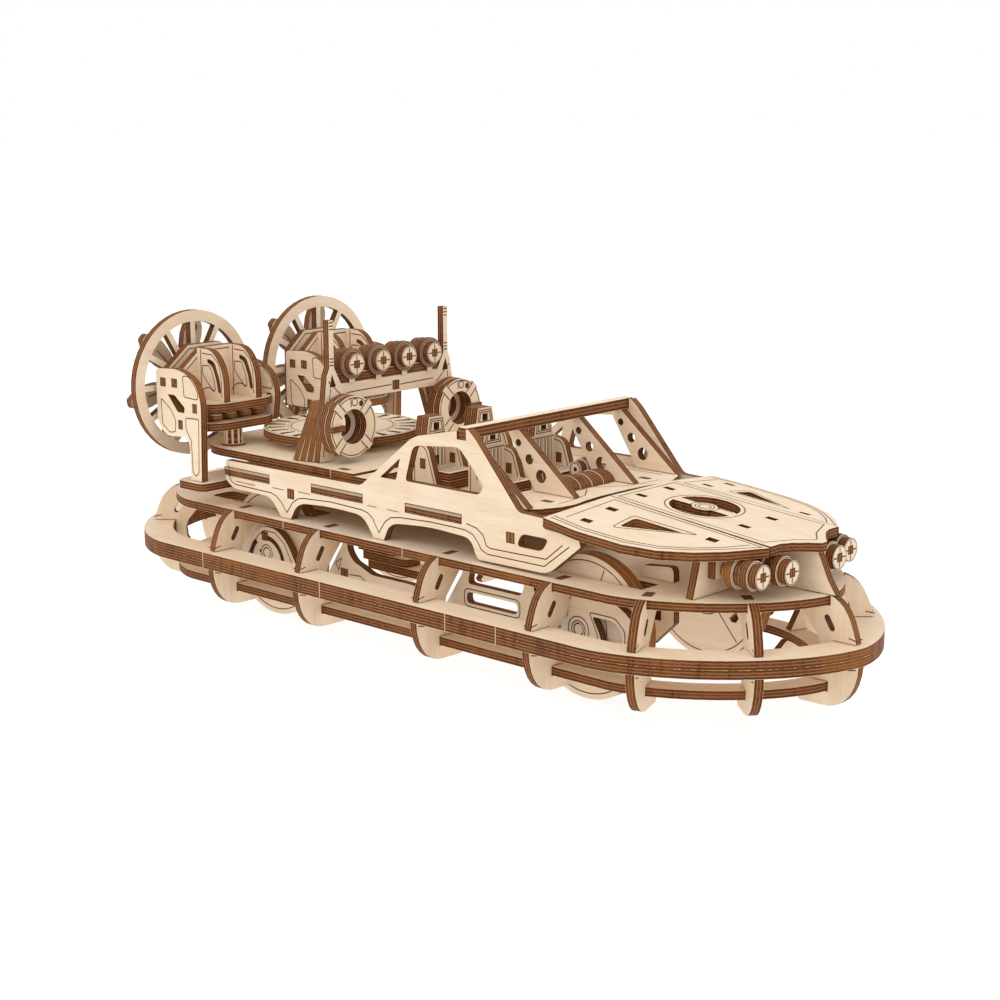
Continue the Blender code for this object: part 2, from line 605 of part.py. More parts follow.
# Seats: (row, x of the back's front face, y of its middle)
SEAT_BASE = SHELF_Z + PLY + FIT
BACK_TOP, HEAD_TOP = 79.5, 87.4
for row, seat_x, seat_y in (("front", 20.0, 15.4), ("rear", -12.7, 14.7)):
    for side_name, side in SIDES:
        y = side * seat_y
        back_outline = rounded([(y - 9, SEAT_BASE, 0), (y + 9, SEAT_BASE, 0), (y + 9.5, 75, 3),
                                (y + 8, BACK_TOP, 2), (y - 8, BACK_TOP, 2), (y - 9.5, 75, 3)])
        head_low = BACK_TOP - 1.5
        head_outline = [(y - 5.8, head_low), (y + 5.8, head_low), (y + 4.1, HEAD_TOP), (y - 4.1, HEAD_TOP)]
        back = board(f"seat_{row}_{side_name}", crosswise(seat_x - PLY), back_outline)
        head = board("head", crosswise(seat_x - 2 * PLY + SINK), head_outline, (), 2 * PLY)
        cushion = board("cushion", flat(SEAT_BASE), box(seat_x - SINK, y - 9, seat_x + 15, y + 9), (), 7.0)
        combine(back, [head, cushion])

# Dashboard and steering wheel on the coaming
DASH_X, DASH_LENGTH, DASH_HEIGHT, DASH_HALF = 52.0, 7.0, 4.4, 15.9
STEERING_Y, STEERING_Z = 25.0, 67.4
ON_COAMING = COAMING_TOP + FIT
dash_turns = np.linspace(0, pi, 9)
dash_profile = [(DASH_X + DASH_LENGTH * cos(t), ON_COAMING + DASH_HEIGHT * sin(t)) for t in dash_turns]
board("dashboard", lengthwise(DASH_HALF), dash_profile, (), 2 * DASH_HALF)
wheel_parts = turned("steering", 36.0, STEERING_Y, STEERING_Z, ((2.0, 4.4), (3.0, 2.4)))
column = [(39.0, 66.0), (39.0, 69.0), (46.0, 69.0), (50.0, 67.5), (50.0, ON_COAMING), (46.0, ON_COAMING),
          (44.8, 66.0)]
combine(board("steering_wheel", lengthwise(STEERING_Y + 1.5), column, (), 3.0), wheel_parts)

# Main gear on the rear platform: a slotted disc on a smaller one
GEAR_X, GEAR_R, GEAR_SLOTS = -86.0, 35.0, 24
SLOT_IN, SLOT_OUT, SLOT_HALF, GEAR_BASE_R = 25.5, 32.5, 0.9, 22.0
gear_slot = box(SLOT_IN, -SLOT_HALF, SLOT_OUT, SLOT_HALF)
gear_holes = []
for i in range(GEAR_SLOTS):
    turn = 2 * pi * (i + 0.5) / GEAR_SLOTS
    hole = [(r * cos(turn) - h * sin(turn), r * sin(turn) + h * cos(turn)) for r, h in gear_slot]
    gear_holes.append([(GEAR_X + a, b) for a, b in hole])
gear_disc = circle(GEAR_X, 0, GEAR_R, 48)
gear = board("main_gear", flat(FOOT_Z + PLY - SINK), gear_disc, gear_holes, PLY + SINK)
combine(gear, [board("gear_base", flat(FOOT_Z), circle(GEAR_X, 0, GEAR_BASE_R, 24))])

# Stern plank: carries the nacelles' outer cheeks, on two legs that stand on the deck
PLANK_TOP = 52.5
plank_side = [(-107.5, 40, 0), (-107.5, 63, 4), (-125.5, 63, 4), (-128, 40, 0)]
plank = rounded([(a, -b, r) for a, b, r in reversed(plank_side)] + plank_side)
plank_leg = box(-126, DECK_TOP + FIT, -112, PLANK_TOP - PLY + SINK)
plank_legs = [board("leg", lengthwise(y), plank_leg) for y in (-22.0, 25.5)]
combine(board("stern_plank", flat(PLANK_TOP - PLY), plank), plank_legs)

# Nacelles. In each: an outer and an inner cheek, two cross frames with slanted shoulders, two cowl plates
# with round fronts before them, two shelves, and a post on the platform
NACELLE_REAR = FAN_RING_X + PLY + FIT
CHEEK_REAR = -140.5
CHEEK_TOP = ((CHEEK_REAR, 100.0, 2), (-124.0, 101.2, 6), (-113.0, 96.4, 5), (-109.8, 87.0, 3))
CHEEK = CHEEK_TOP + (
    (-111.0, PLANK_TOP + FIT, 0), (-118.2, PLANK_TOP + FIT, 0), (-118.4, 68.8, 2), (-121.0, 71.5, 1),
    (-134.0, 70.6, 2), (-137.6, 73.0, 1), (CHEEK_REAR, 77.5, 1),
)
SHELVES = (74.0, 82.5)
INNER_CHEEK = CHEEK_TOP + ((-112.0, SHELVES[0] + SINK, 2), (CHEEK_REAR, SHELVES[0] + SINK, 1))
CHEEK_HOLES = (
    box(-137.5, 92.6, -134.0, 96.1), box(-129.5, 92.9, -126.0, 96.4),
    rounded([(-132.5, 89.0, 1), (-129.0, 89.0, 1), (-121.5, 82.0, 1), (-122.5, 78.6, 1), (-126.0, 78.6, 1)]),
)
COWL_TOP, COWL_FRONT, FRAME_X = 108.6, -111.2, -132.5
COWL_FOOT = SHELVES[1] + PLY - SINK
COWL = ((FRAME_X + PLY - SINK, COWL_FOOT, 0), (FRAME_X + PLY - SINK, COWL_TOP, 0), (-118.0, COWL_TOP, 9),
        (COWL_FRONT, 99.0, 8), (COWL_FRONT, COWL_FOOT, 0))
COWL_SLOT = ((-122.0, 104.6, 1.5), (-117.0, 103.4, 2), (-113.9, 96.0, 2), (-113.0, 89.8, 1),
             (-115.0, 89.8, 1), (-116.2, 95.6, 2), (-118.8, 101.6, 2), (-122.0, 102.6, 1))
COWL_PLACES = (7.0, -11.0)
SHOULDER = ((19.0, 98.3), (6.0, COWL_TOP), (-12.5, COWL_TOP), (-22.0, 100.2))
SHELF_FRONT, SHELF_SHOULDER = -109.0, -115.0
POST_X, POST_R = -116.4, 3.6
for side_name, side in SIDES:
    centre = side * FAN_Y
    outer_y, inner_y = centre + side * CHEEK_Y, centre - side * CHEEK_Y
    outer_place = lengthwise(max(outer_y, outer_y - side * PLY))
    inner_place = lengthwise(max(inner_y, inner_y + side * PLY))
    board(f"nacelle_cheek_{side_name}", outer_place, rounded(CHEEK), CHEEK_HOLES)
    plates = [board("inner_cheek", inner_place, rounded(INNER_CHEEK), CHEEK_HOLES)]
    for out in COWL_PLACES:
        cowl_place = lengthwise(centre + side * out + PLY / 2)
        plates.append(board("cowl", cowl_place, rounded(COWL), [rounded(COWL_SLOT)]))
    across = [(19.0, COWL_FOOT)] + list(SHOULDER) + [(-22.0, COWL_FOOT)]
    for x in (NACELLE_REAR, FRAME_X):
        plates.append(board("cross_frame", crosswise(x), [(centre + side * out, z) for out, z in across]))
    low, high = sorted((outer_y - side * (PLY + FIT), inner_y + side * SINK))
    shelf_outline = rounded([
        (NACELLE_REAR, low, 0), (SHELF_SHOULDER, low, 4), (SHELF_FRONT, low + 7.5, 5),
        (SHELF_FRONT, high - 7.5, 5), (SHELF_SHOULDER, high, 4), (NACELLE_REAR, high, 0)])
    plates.append(board("shelf_high", flat(SHELVES[1]), shelf_outline))
    post_height = SHELVES[0] + SINK - FOOT_Z
    plates.append(board("post", flat(FOOT_Z), circle(POST_X, centre, POST_R, 20), (), post_height))
    combine(board(f"nacelle_frame_{side_name}", flat(SHELVES[0]), shelf_outline), plates)

# Fan rings: a rim, spokes and a hub with the propeller's bearing
RIM_WIDTH, HUB_R, SPOKES, SPOKE_HALF, SHAFT_R = 5.0, 9.0, 12, 1.3, 2.0
for side_name, side in SIDES:
    centre = side * FAN_Y
    holes = []
    for i in range(SPOKES):
        a0, a1 = 2 * pi * i / SPOKES, 2 * pi * (i + 1) / SPOKES
        rim = FAN_R - RIM_WIDTH
        half_out, half_in = SPOKE_HALF / rim, SPOKE_HALF / HUB_R
        window = [(rim, t) for t in np.linspace(a0 + half_out, a1 - half_out, 5)]
        window += [(HUB_R, t) for t in np.linspace(a1 - half_in, a0 + half_in, 3)]
        holes.append([(centre + float(r * sin(t)), FAN_Z + float(r * cos(t))) for r, t in window])
    holes.append(circle(centre, FAN_Z, SHAFT_R + FIT, 16))
    board(f"fan_ring_{side_name}", crosswise(FAN_RING_X), circle(centre, FAN_Z, FAN_R, 48), holes)

# Propellers on their shafts: (radius, half width) along one edge of a blade, from its root to its tip
BLADE = ((7.5, 2.2), (15.0, 4.4), (21.0, 5.0), (25.5, 4.4), (28.6, 2.6), (PROP_TIP_R - 0.6, 2.2),
         (PROP_TIP_R, 1.2))
for side_name, side in SIDES:
    name = f"propeller_{side_name}"
    outline = []
    for i in range(PROP_BLADES):
        middle = PROP_TURN + 2 * pi * i / PROP_BLADES
        for radius, half in [(r, -h) for r, h in BLADE] + list(reversed(BLADE)):
            y = radius * sin(middle) + half * cos(middle)
            z = radius * cos(middle) - half * sin(middle)
            outline.append((y, z))
    blades = board(name, crosswise(0), outline, (), PLY)
    shaft = board("shaft", crosswise(-2.0), circle(0, 0, SHAFT_R, 16), (), 13.0)
    hub = board("hub", crosswise(-2.0), circle(0, 0, 4.5, 20), (), 2.0 + PLY + 2.0)
    for piece in (blades, shaft, hub):
        piece.location += Vector((PROP_X, side * FAN_Y, FAN_Z)) * MM
    bpy.context.view_layer.update()
    combine(blades, [hub, shaft])
print(len([o for o in bpy.data.objects if o.type == "MESH"]), "pieces")
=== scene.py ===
# %% [markdown]
# # A plywood rescue hovercraft
#
# The real object is a hobby model: flat birch boards, cut by a laser and held together by their tenons. A
# laser leaves two finishes. A board's face stays pale and shows a fine straight grain, and every cut edge
# is burnt brown, with the plies of the board showing as stripes. Thin brown lines are engraved on many
# faces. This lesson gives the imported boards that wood, adds what the laser engraved, and builds again,
# board by board, the pieces that are stacks or boxes of smaller boards.

# %% Load the boards
import bpy
import numpy as np
from math import cos, hypot, pi, radians, sin
from mathutils import Matrix, Vector
from mathutils.geometry import tessellate_polygon


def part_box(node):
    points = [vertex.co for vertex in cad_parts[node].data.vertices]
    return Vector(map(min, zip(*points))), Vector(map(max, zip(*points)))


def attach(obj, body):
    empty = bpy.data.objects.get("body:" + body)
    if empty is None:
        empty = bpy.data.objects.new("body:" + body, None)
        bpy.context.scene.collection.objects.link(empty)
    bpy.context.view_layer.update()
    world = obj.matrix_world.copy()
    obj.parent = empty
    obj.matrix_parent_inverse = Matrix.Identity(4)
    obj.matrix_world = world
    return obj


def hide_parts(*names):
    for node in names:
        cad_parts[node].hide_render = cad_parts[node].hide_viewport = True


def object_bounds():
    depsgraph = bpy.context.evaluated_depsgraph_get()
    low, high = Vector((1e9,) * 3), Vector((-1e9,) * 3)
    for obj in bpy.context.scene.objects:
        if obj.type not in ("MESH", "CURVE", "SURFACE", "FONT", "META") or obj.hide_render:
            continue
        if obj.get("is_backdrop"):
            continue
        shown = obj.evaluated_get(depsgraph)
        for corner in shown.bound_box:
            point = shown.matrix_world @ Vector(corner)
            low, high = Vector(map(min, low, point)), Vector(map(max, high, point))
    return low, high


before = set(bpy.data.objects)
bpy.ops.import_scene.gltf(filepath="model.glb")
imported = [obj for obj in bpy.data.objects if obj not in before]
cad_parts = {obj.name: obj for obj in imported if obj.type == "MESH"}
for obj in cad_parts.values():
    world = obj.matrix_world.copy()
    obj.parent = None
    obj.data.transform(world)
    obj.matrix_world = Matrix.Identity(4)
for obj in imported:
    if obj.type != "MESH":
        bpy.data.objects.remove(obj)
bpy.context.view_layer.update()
print("boards in the frame:", len(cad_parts))

# %% [markdown]
# ## Units and drawing sheets
#
# A kit like this is drawn in millimetres, from the feet of its ribs upwards, so this lesson does the same.
# A board is drawn flat, on a sheet with two directions, and its thickness runs in a third one. A sheet is
# kept as four rows: its origin and those three directions, which is enough for level, upright, turned and
# sloping boards alike.

# %% Millimetres, and the sheets that boards are drawn on
MM = 0.001
PLY = 3.5
FIT = 0.3
LIFT = 5.7
SIDES = (("starboard", -1), ("port", 1))
X, Y, Z = (1, 0, 0), (0, 1, 0), (0, 0, 1)


def metres(points):
    """Drawing points (x, y, z) in millimetres as scene points in metres."""
    return (np.asarray(points, float) + [0, 0, LIFT]) * MM


def sheet(origin, along, up, through):
    """A drawing sheet: the point (a, b, t) on it is origin + a along + b up + t through."""
    return np.array([origin, along, up, through], float)


def lengthwise(y):
    """An upright sheet along the hull: (a, b) is (x, z), and the thickness grows to port from y."""
    return sheet((0, y, 0), X, Z, Y)


def crosswise(x):
    """An upright sheet across the hull: (a, b) is (y, z), and the thickness grows to the bow from x."""
    return sheet((x, 0, 0), Y, Z, X)


def level(z):
    """A level sheet: (a, b) is (x, y), and the thickness grows upwards from z."""
    return sheet((0, 0, z), X, Y, Z)


# %% [markdown]
# ## The camera
#
# The camera was found by fitting the hull's rings and the ribs' feet to the photograph. It stands off the
# starboard bow and a little above the model, far enough away for a flat, product-like perspective.

# %% Set up the camera
EYE = (549.2, -578.9, 224.5)
AZIMUTH, ELEVATION, ROLL = radians(42.961), radians(12.25), radians(-0.187)
FOCAL_PIXELS, PICTURE_PIXELS = 1945.36, 1000
back = Vector((sin(AZIMUTH) * cos(ELEVATION), -cos(AZIMUTH) * cos(ELEVATION), sin(ELEVATION)))
right = Vector((cos(AZIMUTH), sin(AZIMUTH), 0))
up = back.cross(right)
camera_right = right * cos(ROLL) + up * sin(ROLL)
camera_up = up * cos(ROLL) - right * sin(ROLL)
camera_data = bpy.data.cameras.new("camera")
camera_data.sensor_width = 36.0
camera_data.lens = FOCAL_PIXELS / PICTURE_PIXELS * camera_data.sensor_width
camera_data.clip_start, camera_data.clip_end = 0.01, 20
camera = bpy.data.objects.new("camera", camera_data)
turned = Matrix((camera_right, camera_up, back)).transposed().to_4x4()
camera.matrix_world = Matrix.Translation(metres(EYE)) @ turned
bpy.context.scene.collection.objects.link(camera)
bpy.context.scene.camera = camera

# %% [markdown]
# ## Shader maths as plain expressions
#
# A finish is a sum of masks, and sums read best as expressions. The class below wraps one socket, so that
# masks can be added and multiplied like numbers while the Math nodes are made behind them. Colours are
# mixed by a Mix node.

# %% A class for sockets
class Socket:
    """One output socket, with the arithmetic that the finishes need."""

    def __init__(self, tree, socket):
        self.tree, self.socket = tree, socket

    def plug(self, target, value):
        """A link, or a plain value, into an input."""
        if isinstance(value, Socket):
            self.tree.links.new(value.socket, target)
        else:
            target.default_value = value

    def node(self, kind, settings=None, output=0, **values):
        """One output of a new node: its settings come first, then the values or links of its inputs."""
        made = self.tree.nodes.new(kind)
        for name, value in (settings or {}).items():
            setattr(made, name, value)
        for name, value in values.items():
            key = int(name[1:]) if name[0] == "i" and name[1:].isdigit() else name.replace("_", " ")
            self.plug(made.inputs[key], value)
        return Socket(self.tree, made.outputs[output])

    def math(self, operation, *values):
        """A Math node on this socket and others."""
        inputs = {f"i{i}": value for i, value in enumerate((self, *values))}
        return self.node("ShaderNodeMath", {"operation": operation}, **inputs)

    def vector(self, operation, other, output=0):
        """A Vector Math node on this socket and another vector."""
        return self.node("ShaderNodeVectorMath", {"operation": operation}, output, i0=self, i1=other)

    def __add__(self, other):
        return self.math("ADD", other)

    def __sub__(self, other):
        return self.math("SUBTRACT", other)

    def __mul__(self, other):
        return self.math("MULTIPLY", other)

    def __truediv__(self, other):
        return self.math("DIVIDE", other)

    def __rsub__(self, other):
        return self.math("MULTIPLY", -1.0).math("ADD", other)

    def above(self, edge):
        """1 where the value is above the edge, else 0."""
        return self.math("GREATER_THAN", edge)

    def rise(self, low, high):
        """A smooth step from 0 at low to 1 at high."""
        return self.node("ShaderNodeMapRange", {"interpolation_type": "SMOOTHSTEP"}, Value=self, From_Min=low,
                         From_Max=high)

    def noise(self, scale, detail=3.0):
        """Noise at the points that this vector gives."""
        return self.node("ShaderNodeTexNoise", Vector=self, Scale=scale, Detail=detail)

    def ramp(self, stops):
        """A colour for each value, from pairs (value, colour) that begin with the ramp's two ends."""
        made = self.node("ShaderNodeValToRGB", Fac=self)
        elements = made.socket.node.color_ramp.elements
        for i, (value, colour) in enumerate(stops):
            element = elements[i] if i < 2 else elements.new(value)
            element.position, element.color = value, (*colour, 1.0)
        return made

    def colour_between(self, *colours):
        """The first colour where this mask is 0, and the second where it is 1."""
        ends = [colour if isinstance(colour, Socket) else (*colour, 1.0) for colour in colours]
        return self.node("ShaderNodeMix", {"data_type": "RGBA"}, 2, Factor=self, i6=ends[0], i7=ends[1])


def linear(red, green, blue):
    """A colour as the eye names it, 0 to 255, turned to the linear values that shaders use."""
    share = np.array([red, green, blue]) / 255
    return tuple(np.where(share <= 0.04045, share / 12.92, ((share + 0.055) / 1.055) ** 2.4).tolist())


# %% [markdown]
# ## Birch plywood
#
# One function paints the wood. It is told, as sockets, where a point lies in the board's thickness, from 0
# at one face to 1 at the other, and two stretched copies of the point's place: one for the grain of the
# faces, and one for the scorch marks that run straight through a cut edge. Points on a face get the pale
# veneer. Points between the faces get the plies of the edge, from each face inwards: a tan skin, a dark
# line of glue and char, an amber ply, and a dark heart.

# %% Paint the wood
FACE_PALE, FACE_WARM, FLECK = linear(239, 220, 196), linear(227, 200, 167), linear(196, 156, 112)
# The first of these browns is for real scorch marks, and also for the painted shade that a few boards get.
SCORCH_AND_SHADE, CHAR, AMBER = linear(90, 47, 24), linear(48, 24, 12), linear(164, 106, 50)
EDGE_STOPS = ((0.0, linear(200, 146, 94)), (1.0, linear(86, 47, 24)), (0.08, linear(120, 72, 38)),
              (0.22, linear(66, 34, 16)), (0.42, linear(94, 54, 28)), (0.64, linear(154, 102, 60)),
              (0.84, linear(118, 72, 40)))
BUMP_HEIGHT, BUMP_STRENGTH, ROUGHNESS, SHINE = 0.0002, 0.14, 0.6, 0.12
GRAIN_STRETCH, SCORCH_STRETCH = 0.93, 0.85


def paint_wood(material, share, fibre, streak, place, burn_and_shade=None, plies=1):
    """Veneer on the faces and burnt plies between them, from the share of the thickness and from noise."""
    shader = material.node_tree.nodes["Principled BSDF"]
    from_face = 1 - (share - 0.5).math("ABSOLUTE") * 2
    cut_edge = from_face.above(0.02)
    fine, broad, clouds = fibre.noise(2600.0), fibre.noise(420.0), place.noise(45.0)
    veneer = (fine * 0.35 + broad * 0.4 + clouds * 0.35).rise(0.36, 0.78).colour_between(FACE_PALE, FACE_WARM)
    veneer = (fine.rise(0.66, 0.80) * broad.rise(0.45, 0.6) * 0.5).colour_between(veneer, FLECK)
    if plies > 1:
        from_face = 1 - ((share * plies).math("FRACT") - 0.5).math("ABSOLUTE") * 2
    wobble, scorch = streak.noise(700.0), streak.noise(420.0, 4.0)
    band = from_face + (wobble - 0.5) * 0.34
    edge = (scorch.rise(0.5, 0.8) * 0.6).colour_between(band.ramp(EDGE_STOPS), CHAR)
    edge = (clouds.rise(0.5, 0.72) * 0.32).colour_between(edge, AMBER)
    # This value mixes faces towards scorch brown: real scorching on lines and tenons, painted shade on a few
    # boards that stand in shade.
    if burn_and_shade is not None:
        veneer = burn_and_shade.math("MAXIMUM", 0.0).colour_between(veneer, SCORCH_AND_SHADE)
        edge = (burn_and_shade * -0.8).math("MAXIMUM", 0.0).colour_between(edge, AMBER)
    place.plug(shader.inputs["Base Color"], cut_edge.colour_between(veneer, edge))
    shader.inputs["Roughness"].default_value = ROUGHNESS
    shader.inputs["Specular IOR Level"].default_value = SHINE
    height = fine * 0.6 + broad * 0.4
    bump = place.node("ShaderNodeBump", Strength=BUMP_STRENGTH, Distance=BUMP_HEIGHT, Height=height)
    place.plug(shader.inputs["Normal"], bump)


def new_wood(name):
    """An empty material, and the socket of Object coordinates in it."""
    material = bpy.data.materials.new(name)
    material.use_nodes = True
    tree = material.node_tree
    return material, Socket(tree, tree.nodes.new("ShaderNodeTexCoord").outputs["Object"])


# %% [markdown]
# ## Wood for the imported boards
#
# A packed board is only a mesh, so its share of the thickness is worked out from Object coordinates: how
# far a point lies along the board's thickness, less where the board starts. The two stretched places are
# found the same way, by taking most of the grain's direction, or of the thickness, out of the point's
# place.

# %% Make the wood of one packed board
wood_cache = {}


def without(place, direction, part):
    """The place with a part of one direction taken out, which stretches a pattern along that direction."""
    along = place.vector("DOT_PRODUCT", direction, "Value") * -part
    taken = place.node("ShaderNodeVectorMath", {"operation": "SCALE"}, i0=direction, Scale=along)
    return place.vector("ADD", taken)


def plywood(across=Z, start=0.0, grain=X, thickness=PLY, plies=1):
    """The wood of a board that starts at this many millimetres along a direction, in drawing coordinates."""
    key = (tuple(across), round(start, 3), tuple(grain), thickness)
    if key not in wood_cache:
        material, place = new_wood(f"plywood_{len(wood_cache)}")
        from_zero = place.vector("DOT_PRODUCT", across, "Value") / MM
        share = (from_zero - (start + LIFT * across[2])) / thickness
        fibre, streak = without(place, grain, GRAIN_STRETCH), without(place, across, SCORCH_STRETCH)
        paint_wood(material, share, fibre, streak, place, plies=plies)
        wood_cache[key] = material
    return wood_cache[key]


# %% [markdown]
# ## Give each packed board its wood
#
# A board's thickness runs along one axis, so a short table says for each board which axis, and where the
# board's box starts. The ribs fan out round the bow and the stern, so their direction comes from the rib
# itself, and the hood's boards follow their sloping planes.

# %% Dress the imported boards
AXES = (X, Y, Z)
BOARD_AXIS = {"deck": 2, "bottom_ring": 2, "shelf": 2, "rear_platform": 2, "coaming": 2,
              "hood_cross_frame": 0, "bow_plate": 1}
HOOD_SLOPE, HOOD_SIDE_SLOPE, HOOD_START, HOOD_SIDE_START = -0.0965, -0.13, 73.36, 75.88
for side_name, side in SIDES:
    BOARD_AXIS.update({f"side_frame_{side_name}": 1, f"pillar_{side_name}": 1, f"pillar_side_{side_name}": 1,
                       f"fan_ring_{side_name}": 0})


def dress(node, material):
    """Puts one material on a board of the frame."""
    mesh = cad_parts[node].data
    mesh.materials.clear()
    mesh.materials.append(material)


def start_of(node, axis):
    """Where a board's box starts along an axis, in drawing millimetres."""
    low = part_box(node)[0][axis] / MM
    return low - LIFT if axis == 2 else low


def rib_direction(node):
    """The direction of a rib's thickness, from its own flat faces."""
    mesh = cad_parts[node].data
    areas = np.array([polygon.area for polygon in mesh.polygons])
    normals = np.array([polygon.normal for polygon in mesh.polygons])
    return tuple(float(value) for value in np.round(normals[areas.argmax()], 5))


for node, axis in BOARD_AXIS.items():
    dress(node, plywood(AXES[axis], start_of(node, axis), Y if axis == 0 else X))
dress("middle_ring", plywood(Z, start_of("middle_ring", 2), X, 2 * PLY, plies=2))
dress("hood_middle", plywood((-HOOD_SLOPE, 0, 1), HOOD_START))
for side_name, side in SIDES:
    dress(f"hood_{side_name}", plywood((-HOOD_SLOPE, -HOOD_SIDE_SLOPE * side, 1), HOOD_SIDE_START))
for node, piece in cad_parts.items():
    if node.startswith("rib_"):
        direction = rib_direction(node)
        corners = np.array([vertex.co for vertex in piece.data.vertices]) / MM
        dress(node, plywood(direction, float((corners @ np.array(direction)).min()), Z))
print("kinds of board:", len(wood_cache))

# %% [markdown]
# ## The workbench
#
# Everything that this lesson builds is boards and scorched lines, so one class makes both and keeps them
# in arrays. A board is its outline and holes, filled at both faces, with walls that carry every loop
# through the thickness. Each point also gets four values for the wood: its share of the thickness, its two
# stretched places, and how burnt its face is, a value that also puts painted shade on a few boards. A
# scorched line is a narrow strip that lies just above a face.

# %% Outlines
def circle(a, b, r, steps=48, start=0.0):
    """Points at a distance r from (a, b), equal turns apart."""
    turns = start + np.arange(steps) * 2 * pi / steps
    return np.stack([a + r * np.cos(turns), b + r * np.sin(turns)], 1)


def arc(a, b, r, first, last, steps=16):
    """Points on a circle's arc between two angles in degrees."""
    turns = np.radians(np.linspace(first, last, steps))
    return np.stack([a + r * np.cos(turns), b + r * np.sin(turns)], 1)


def box(a0, b0, a1, b1):
    """A rectangle between two corners."""
    return [(a0, b0), (a1, b0), (a1, b1), (a0, b1)]


def square(a, b, half):
    """A square round a point."""
    return box(a - half, b - half, a + half, b + half)


def rounded(corners, steps=5):
    """A polygon whose corners (a, b, radius) become quadratic curves between points on their two sides."""
    points = []
    for i, (a, b, r) in enumerate(corners):
        if r <= 0:
            points.append((a, b))
            continue
        ends = []
        for other in (corners[i - 1], corners[(i + 1) % len(corners)]):
            share = min(0.48, r / hypot(other[0] - a, other[1] - b))
            ends.append((a + (other[0] - a) * share, b + (other[1] - b) * share))
        t = np.linspace(0, 1, steps + 1)[:, None]
        points += (((1 - t) ** 2) * ends[0] + 2 * t * (1 - t) * np.array([a, b]) + t ** 2 * ends[1]).tolist()
    return points


def unit(vectors):
    """Each row divided by its length."""
    return vectors / np.maximum(np.linalg.norm(vectors, axis=1), 1e-9)[:, None]


def shifted(path, distance, closed=False):
    """The path moved to its left: each point goes along the mean normal of its two sides."""
    path = np.asarray(path, float)
    before, after = np.roll(path, 1, 0), np.roll(path, -1, 0)
    if not closed:
        before[0], after[-1] = 2 * path[0] - path[1], 2 * path[-1] - path[-2]
    ahead = unit(after - path)
    middle = unit(ahead + unit(path - before))
    reach = distance / np.clip((middle * ahead).sum(1), 0.45, 1)
    return path + np.stack([-middle[:, 1], middle[:, 0]], 1) * reach[:, None]


def left_turning(loop):
    """The loop in the order whose area is positive."""
    loop = np.asarray(loop, float)
    after = np.roll(loop, -1, 0)
    area = (loop[:, 0] * after[:, 1] - loop[:, 1] * after[:, 0]).sum()
    return loop if area > 0 else loop[::-1]


def inset(loop, distance):
    """A smaller loop that keeps this distance from the loop."""
    return shifted(left_turning(loop), distance, True)


def polar(turn):
    """The direction at a turn, and the one a quarter turn further."""
    return np.array([cos(turn), sin(turn)]), np.array([-sin(turn), cos(turn)])


# %% The bench
board_wood, board_place = new_wood("plywood_boards")


def written(name, output):
    """A socket that reads a value which the bench wrote on every point."""
    return board_place.node("ShaderNodeAttribute", {"attribute_name": name}, output)


paint_wood(board_wood, written("share", "Fac"), written("fibre", "Vector"), written("streak", "Vector"),
           board_place, burn_and_shade=written("burn_and_shade", "Fac"))
ABOVE = 0.05
LINE_WIDTH = 0.43
BOARD_STEP = 7.3
TENON_SHARE = np.array([0.12, 0.88, 0.88, 0.12])


